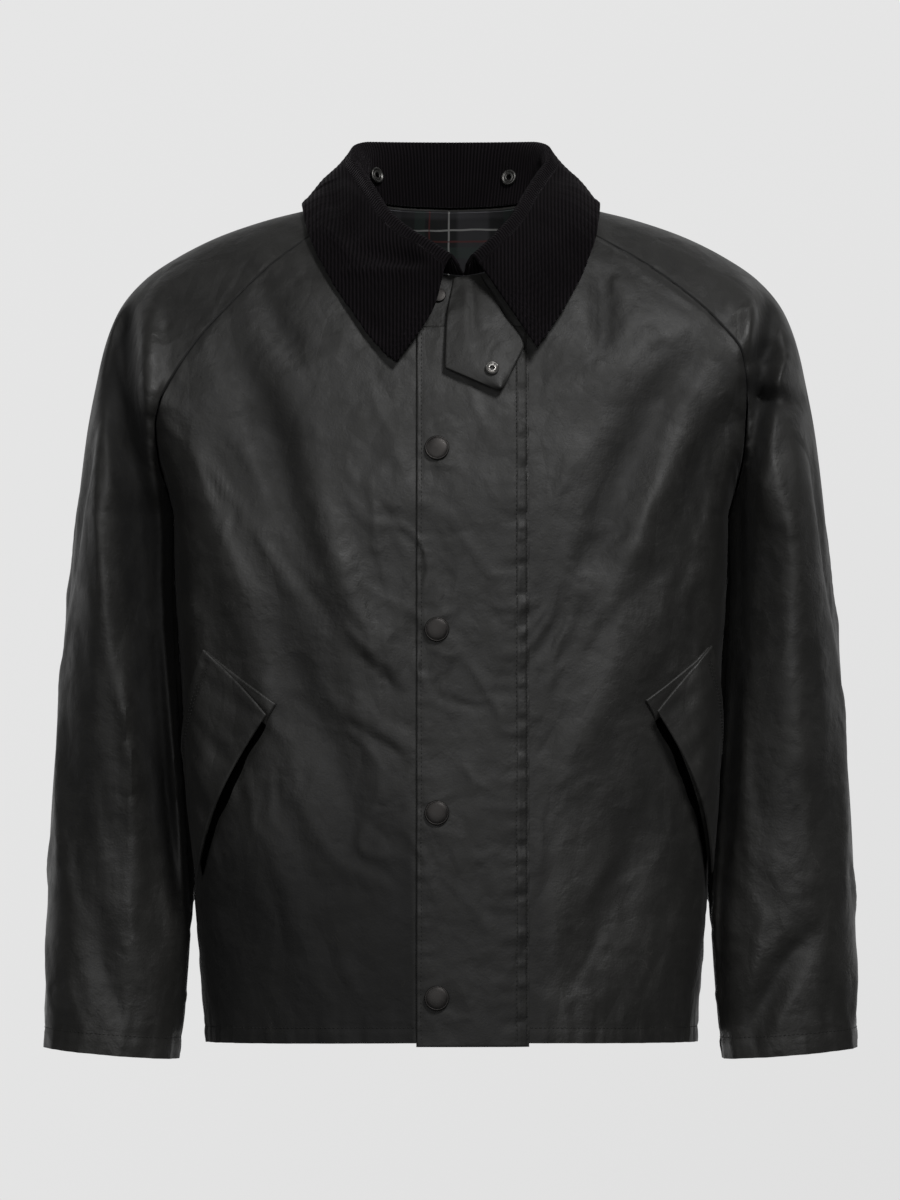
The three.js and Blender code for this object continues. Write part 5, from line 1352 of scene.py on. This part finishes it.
# %% [markdown]
# ## Corduroy ribs
# On the leaf the ribs run straight down the cloth, whatever the leaf's edge does, because cloth is cut with its
# grain upright. On the stand they run up from the neck seam. At the roll the pile is worn flat, and there the
# ribs fade out. A bump would show ribs too, but not on the edge of the leaf, so they are raised in the mesh, on
# a net fine enough to give every rib four points.

# %% The collar
# Each row: from x, z, the way along it, its width and its depth. They lie on the front of the leaves.
LEAF_FOLDS = [
    (-98, 14, 26, -50, 9, -5.5), (-76, -38, 56, -14, 7, -6), (-90, -58, 66, 0, 5, 3.5), (-84, 16, 50, -48, 5, 2.5),
    (-100, -20, 26, -34, 5, 2.5), (-78, -84, 26, -30, 8, -1.8),
    (-52, -62, -8, -34, 7, 1.2), (58, -20, 8, -60, 9, 1.6), (86, 2, 4, -50, 8, -1.4), (84, 40, 20, -30, 5, 1.2),
]  # fmt: skip
STAND_ROW, ROLL_ROW, LEAF_ROW = 20, 27, 50


def leaf_dents(x, z):
    """The leaf's folds. Each fades in and out along its line."""
    height = np.zeros(np.shape(x))
    for x0, z0, dx, dz, wide, tall in LEAF_FOLDS:
        along = ((x - x0) * dx + (z - z0) * dz) / (dx * dx + dz * dz)
        off = ((x - x0) * dz - (z - z0) * dx) / math.hypot(dx, dz)
        height += tall * bell(off, wide) * smoothstep(along, -0.15, 0.25) * (1 - smoothstep(along, 0.75, 1.15))
    return height


def collar_piece():
    """The collar's outer and inner grid, and its cut. Rows of the grid run across it, from foot to edge."""
    stand_stops, roll_stops = np.linspace(0, 0.36, 12)[:-1], np.linspace(0.36, 0.62, 17)[:-1]
    leaf_stops = np.linspace(0.62, 0.985, 40)[:-1]
    stops = np.concatenate([stand_stops, roll_stops, leaf_stops, [0.985, 0.99, 0.994, 0.997, 1]])
    parts = np.linspace(0, 1, 330)
    ends = 1 - np.array([0.0, 0.0015, 0.003, 0.0055, 0.009])
    along = np.unique(np.concatenate([parts[parts < 0.989], ends]))
    halves = {side: collar_lines(side, along, stops) for side in SIDES}
    grid = np.concatenate([halves["right"][:0:-1], halves["left"]])
    normal = grid_normals(grid)
    rows = distance_along(grid[:, STAND_ROW])
    down = np.array([distance_along(line) for line in grid])
    to_roll = down - down[:, ROLL_ROW, None]
    to_edge = down[:, -1:] - down
    end_run = distance_along(grid[:, LEAF_ROW])
    to_end = np.minimum(end_run, end_run[-1] - end_run)[:, None]
    free = np.minimum(to_edge, to_end + 0 * to_edge)
    leaf = smoothstep(to_roll, 2, 6)
    stand = 1 - smoothstep(to_roll, -6, -2)
    phase_leaf, phase_stand = grid[..., 0] / WALE, rows[:, None] / WALE + 0 * down
    rib = leaf * np.cos(2 * math.pi * phase_leaf) + stand * np.cos(2 * math.pi * phase_stand)
    dents = leaf_dents(grid[..., 0], grid[..., 2]) * smoothstep(to_roll, 3, 14) * (grid[..., 1] < 10)
    soft = dents * smoothstep(free, -4, 10)
    seam_row = bell(free - 6.5, 0.8) * leaf
    round_off = rolled(free, 2.0)
    raised = 0.14 * rib * smoothstep(free, 0, 3)
    outer = grid + normal * (CORDUROY / 2 * round_off + soft + raised - 0.35 * seam_row)[..., None]
    inner = grid - normal * (CORDUROY / 2 * round_off - soft)[..., None]
    cut = np.stack([np.where(leaf > 0.5, phase_leaf, phase_stand), to_roll], axis=-1)
    return outer, inner, cut


outer, inner, cut = collar_piece()
collar = wall("cloth_collar", outer, inner, cut, [CORD], crease=None)
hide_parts("collar")

# %% [markdown]
# ## Press studs
# A cap is a shallow dome pressed over a ring, so it has a rolled rim and a fine groove inside it. A socket is a
# ring round a dark hole with a spring inside. Both are turned shapes, and each is set where its own solid is:
# the solid's thinnest direction is its axis. Their faces stay plain.

# %% Press studs
# Each profile says how far from the axis and how high.
CAP_PROFILE = [
    (0, 4.0), (3, 3.95), (6, 3.7), (7.6, 3.35), (8.2, 3.1), (8.45, 2.95), (8.7, 3.05), (9.15, 3.0), (9.6, 2.5),
    (9.7, 1.8), (9.5, 0.9), (8.9, 0.1), (0, 0),
]  # fmt: skip
NECK_PROFILE = [(0, 2.0), (3, 1.95), (4.8, 1.75), (5.2, 1.6), (5.5, 1.62), (5.85, 1.4), (6, 0.9), (5.8, 0.2), (0, 0)]
RING_PROFILE = [
    (2.0, 0.0), (2.0, 1.2), (2.2, 1.7), (2.7, 1.9), (3.3, 1.75), (3.7, 1.45), (4.1, 1.55), (4.7, 2.2), (5.3, 2.4),
    (5.9, 2.05), (6.2, 1.4), (6.1, 0.4), (5.6, 0), (2.0, 0.0),
]  # fmt: skip
TAB_RING, HOOD_RING = 0.88, 1.06
SHARP_RIM = 50


def seat(node):
    """The middle of a stud solid's base, in millimetres, and its axis."""
    points = np.array([tuple(vertex.co) for vertex in bpy.data.objects[node].data.vertices]) * 1000
    middle = (points.max(axis=0) + points.min(axis=0)) / 2
    axis = np.linalg.svd(points - middle)[2][2]
    axis = axis if axis[1] < 0 else -axis
    along = (points - middle) @ axis
    return middle + axis * along.min(), axis


def turned(name, node, profile, material, slot_name, segments=64):
    """A profile turned round the axis of a stud's solid."""
    base, axis = seat(node)
    side = unit(np.cross(axis, (0, 0, 1)))
    up = np.cross(side, axis)
    turn = np.linspace(0, 2 * math.pi, segments, endpoint=False)
    ring = np.cos(turn)[:, None] * side + np.sin(turn)[:, None] * up
    points = np.concatenate([base + ring * r + axis * h for r, h in profile]) / 1000
    k = np.arange(segments)
    faces = []
    for row in range(len(profile) - 1):
        a, b = row * segments + k, row * segments + (k + 1) % segments
        faces += np.stack([a, b, b + segments, a + segments], axis=1).tolist()
    mesh = bpy.data.meshes.new(name)
    mesh.from_pydata(points.tolist(), [], faces)
    mesh.materials.append(material)
    work = bmesh.new()
    work.from_mesh(mesh)
    bmesh.ops.remove_doubles(work, verts=work.verts, dist=1e-6)
    bmesh.ops.recalc_face_normals(work, faces=work.faces)
    work.to_mesh(mesh)
    work.free()
    mesh.shade_smooth()
    mesh.set_sharp_from_angle(angle=math.radians(SHARP_RIM))
    piece = put_in(name, mesh)
    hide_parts(node)
    return piece


for k in range(1, 5):
    turned(f"cap_{k}", f"fly_stud_{k}", CAP_PROFILE, CAP, "cap")
turned("cap_neck", "neck_stud", NECK_PROFILE, CAP, "cap")
turned("socket_tab", "tab_stud", [(TAB_RING * r, h) for r, h in RING_PROFILE], RING, "ring")
for side in SIDES:
    profile = [(HOOD_RING * r, h) for r, h in RING_PROFILE]
    turned("socket_hood_" + side, "hood_stud_" + side, profile, DULL_RING, "ring")
print("studs are set")

# %% [markdown]
# ## Studio
# The jacket stands before a pale sweep. The key lamp is at the upper right and gives the wax its broad shine. A
# lamp straight in front lights the folds evenly, and a weak one fills in from the upper left. The sweep glows by
# itself, with painted shade toward the lower right. It is wide and far behind the jacket, so that a camera that goes
# round the jacket stays in front of it.

# %% Backdrop, lights and world
SWEEP = {"half": 3, "back": 1.6, "scale": 4.4}


def backdrop():
    finish = Finish("backdrop")
    up = finish.node("ShaderNodeSeparateXYZ", {}, {0: finish.place()}, output=2)
    across = finish.node("ShaderNodeSeparateXYZ", {}, {0: finish.place()}, output=0)
    # Painted shade: the backdrop is darker toward the lower right.
    glow_with_painted_falloff = 0.795 - (across * (1 / SWEEP["scale"]) + 0.47) * (0.31 - up * (1 / SWEEP["scale"])) * 0.115
    grey = finish.mix(glow_with_painted_falloff, (0, 0, 0, 1), (1, 1, 1, 1))
    black = {"Base_Color": (0, 0, 0, 1), "Roughness": 1.0, "Specular_IOR_Level": 0.0}
    material = finish.close(**black, Emission_Color=grey, Emission_Strength=1.0)
    mesh = bpy.data.meshes.new("backdrop")
    half, back = SWEEP["half"] * SWEEP["scale"], SWEEP["back"] * SWEEP["scale"]
    corners = [(-half, back, -half), (half, back, -half), (half, back, half), (-half, back, half)]
    mesh.from_pydata(corners, [], [(0, 1, 2, 3)])
    mesh.materials.append(material)
    sweep = bpy.data.objects.new("backdrop", mesh)
    bpy.context.collection.objects.link(sweep)


def lamp(name, place, target, size, power):
    light = bpy.data.lights.new(name, "AREA")
    light.shape, light.size, light.energy = "DISK", size, power
    piece = bpy.data.objects.new(name, light)
    piece.location = place
    piece.rotation_euler = (Vector(target) - Vector(place)).to_track_quat("-Z", "Y").to_euler()
    bpy.context.collection.objects.link(piece)


backdrop()
lamp("key", (1.2, -2.8, 2.3), (0.05, 0, -0.25), 1.0, 80)
lamp("front", (-0.3, -5.0, 0.0), (0, 0, -0.45), 1.8, 36)
lamp("fill", (-2.0, -3.0, 1.1), (0, 0, -0.3), 1.0, 12)
world = bpy.context.scene.world or bpy.data.worlds.new("studio")
bpy.context.scene.world = world
world.use_nodes = True
world.node_tree.nodes["Background"].inputs[0].default_value = (0.9, 0.92, 0.95, 1)
world.node_tree.nodes["Background"].inputs[1].default_value = 0.05
bpy.context.scene.view_settings.view_transform = "Standard"

# %% [markdown]
# ## Camera
# The photo looks straight at the front. A long lens at more than five metres does the same here, and its
# perspective is weak.

# %% Camera
lens = bpy.data.cameras.new("camera")
lens.sensor_fit, lens.sensor_height, lens.lens = "VERTICAL", 24, 137.5
camera = bpy.data.objects.new("camera", lens)
camera.location, camera.rotation_euler = (-0.0008, -5.57, -0.316), (math.pi / 2, 0, 0)
bpy.context.collection.objects.link(camera)
bpy.context.scene.camera = camera
print("camera at", tuple(round(value, 3) for value in camera.location))
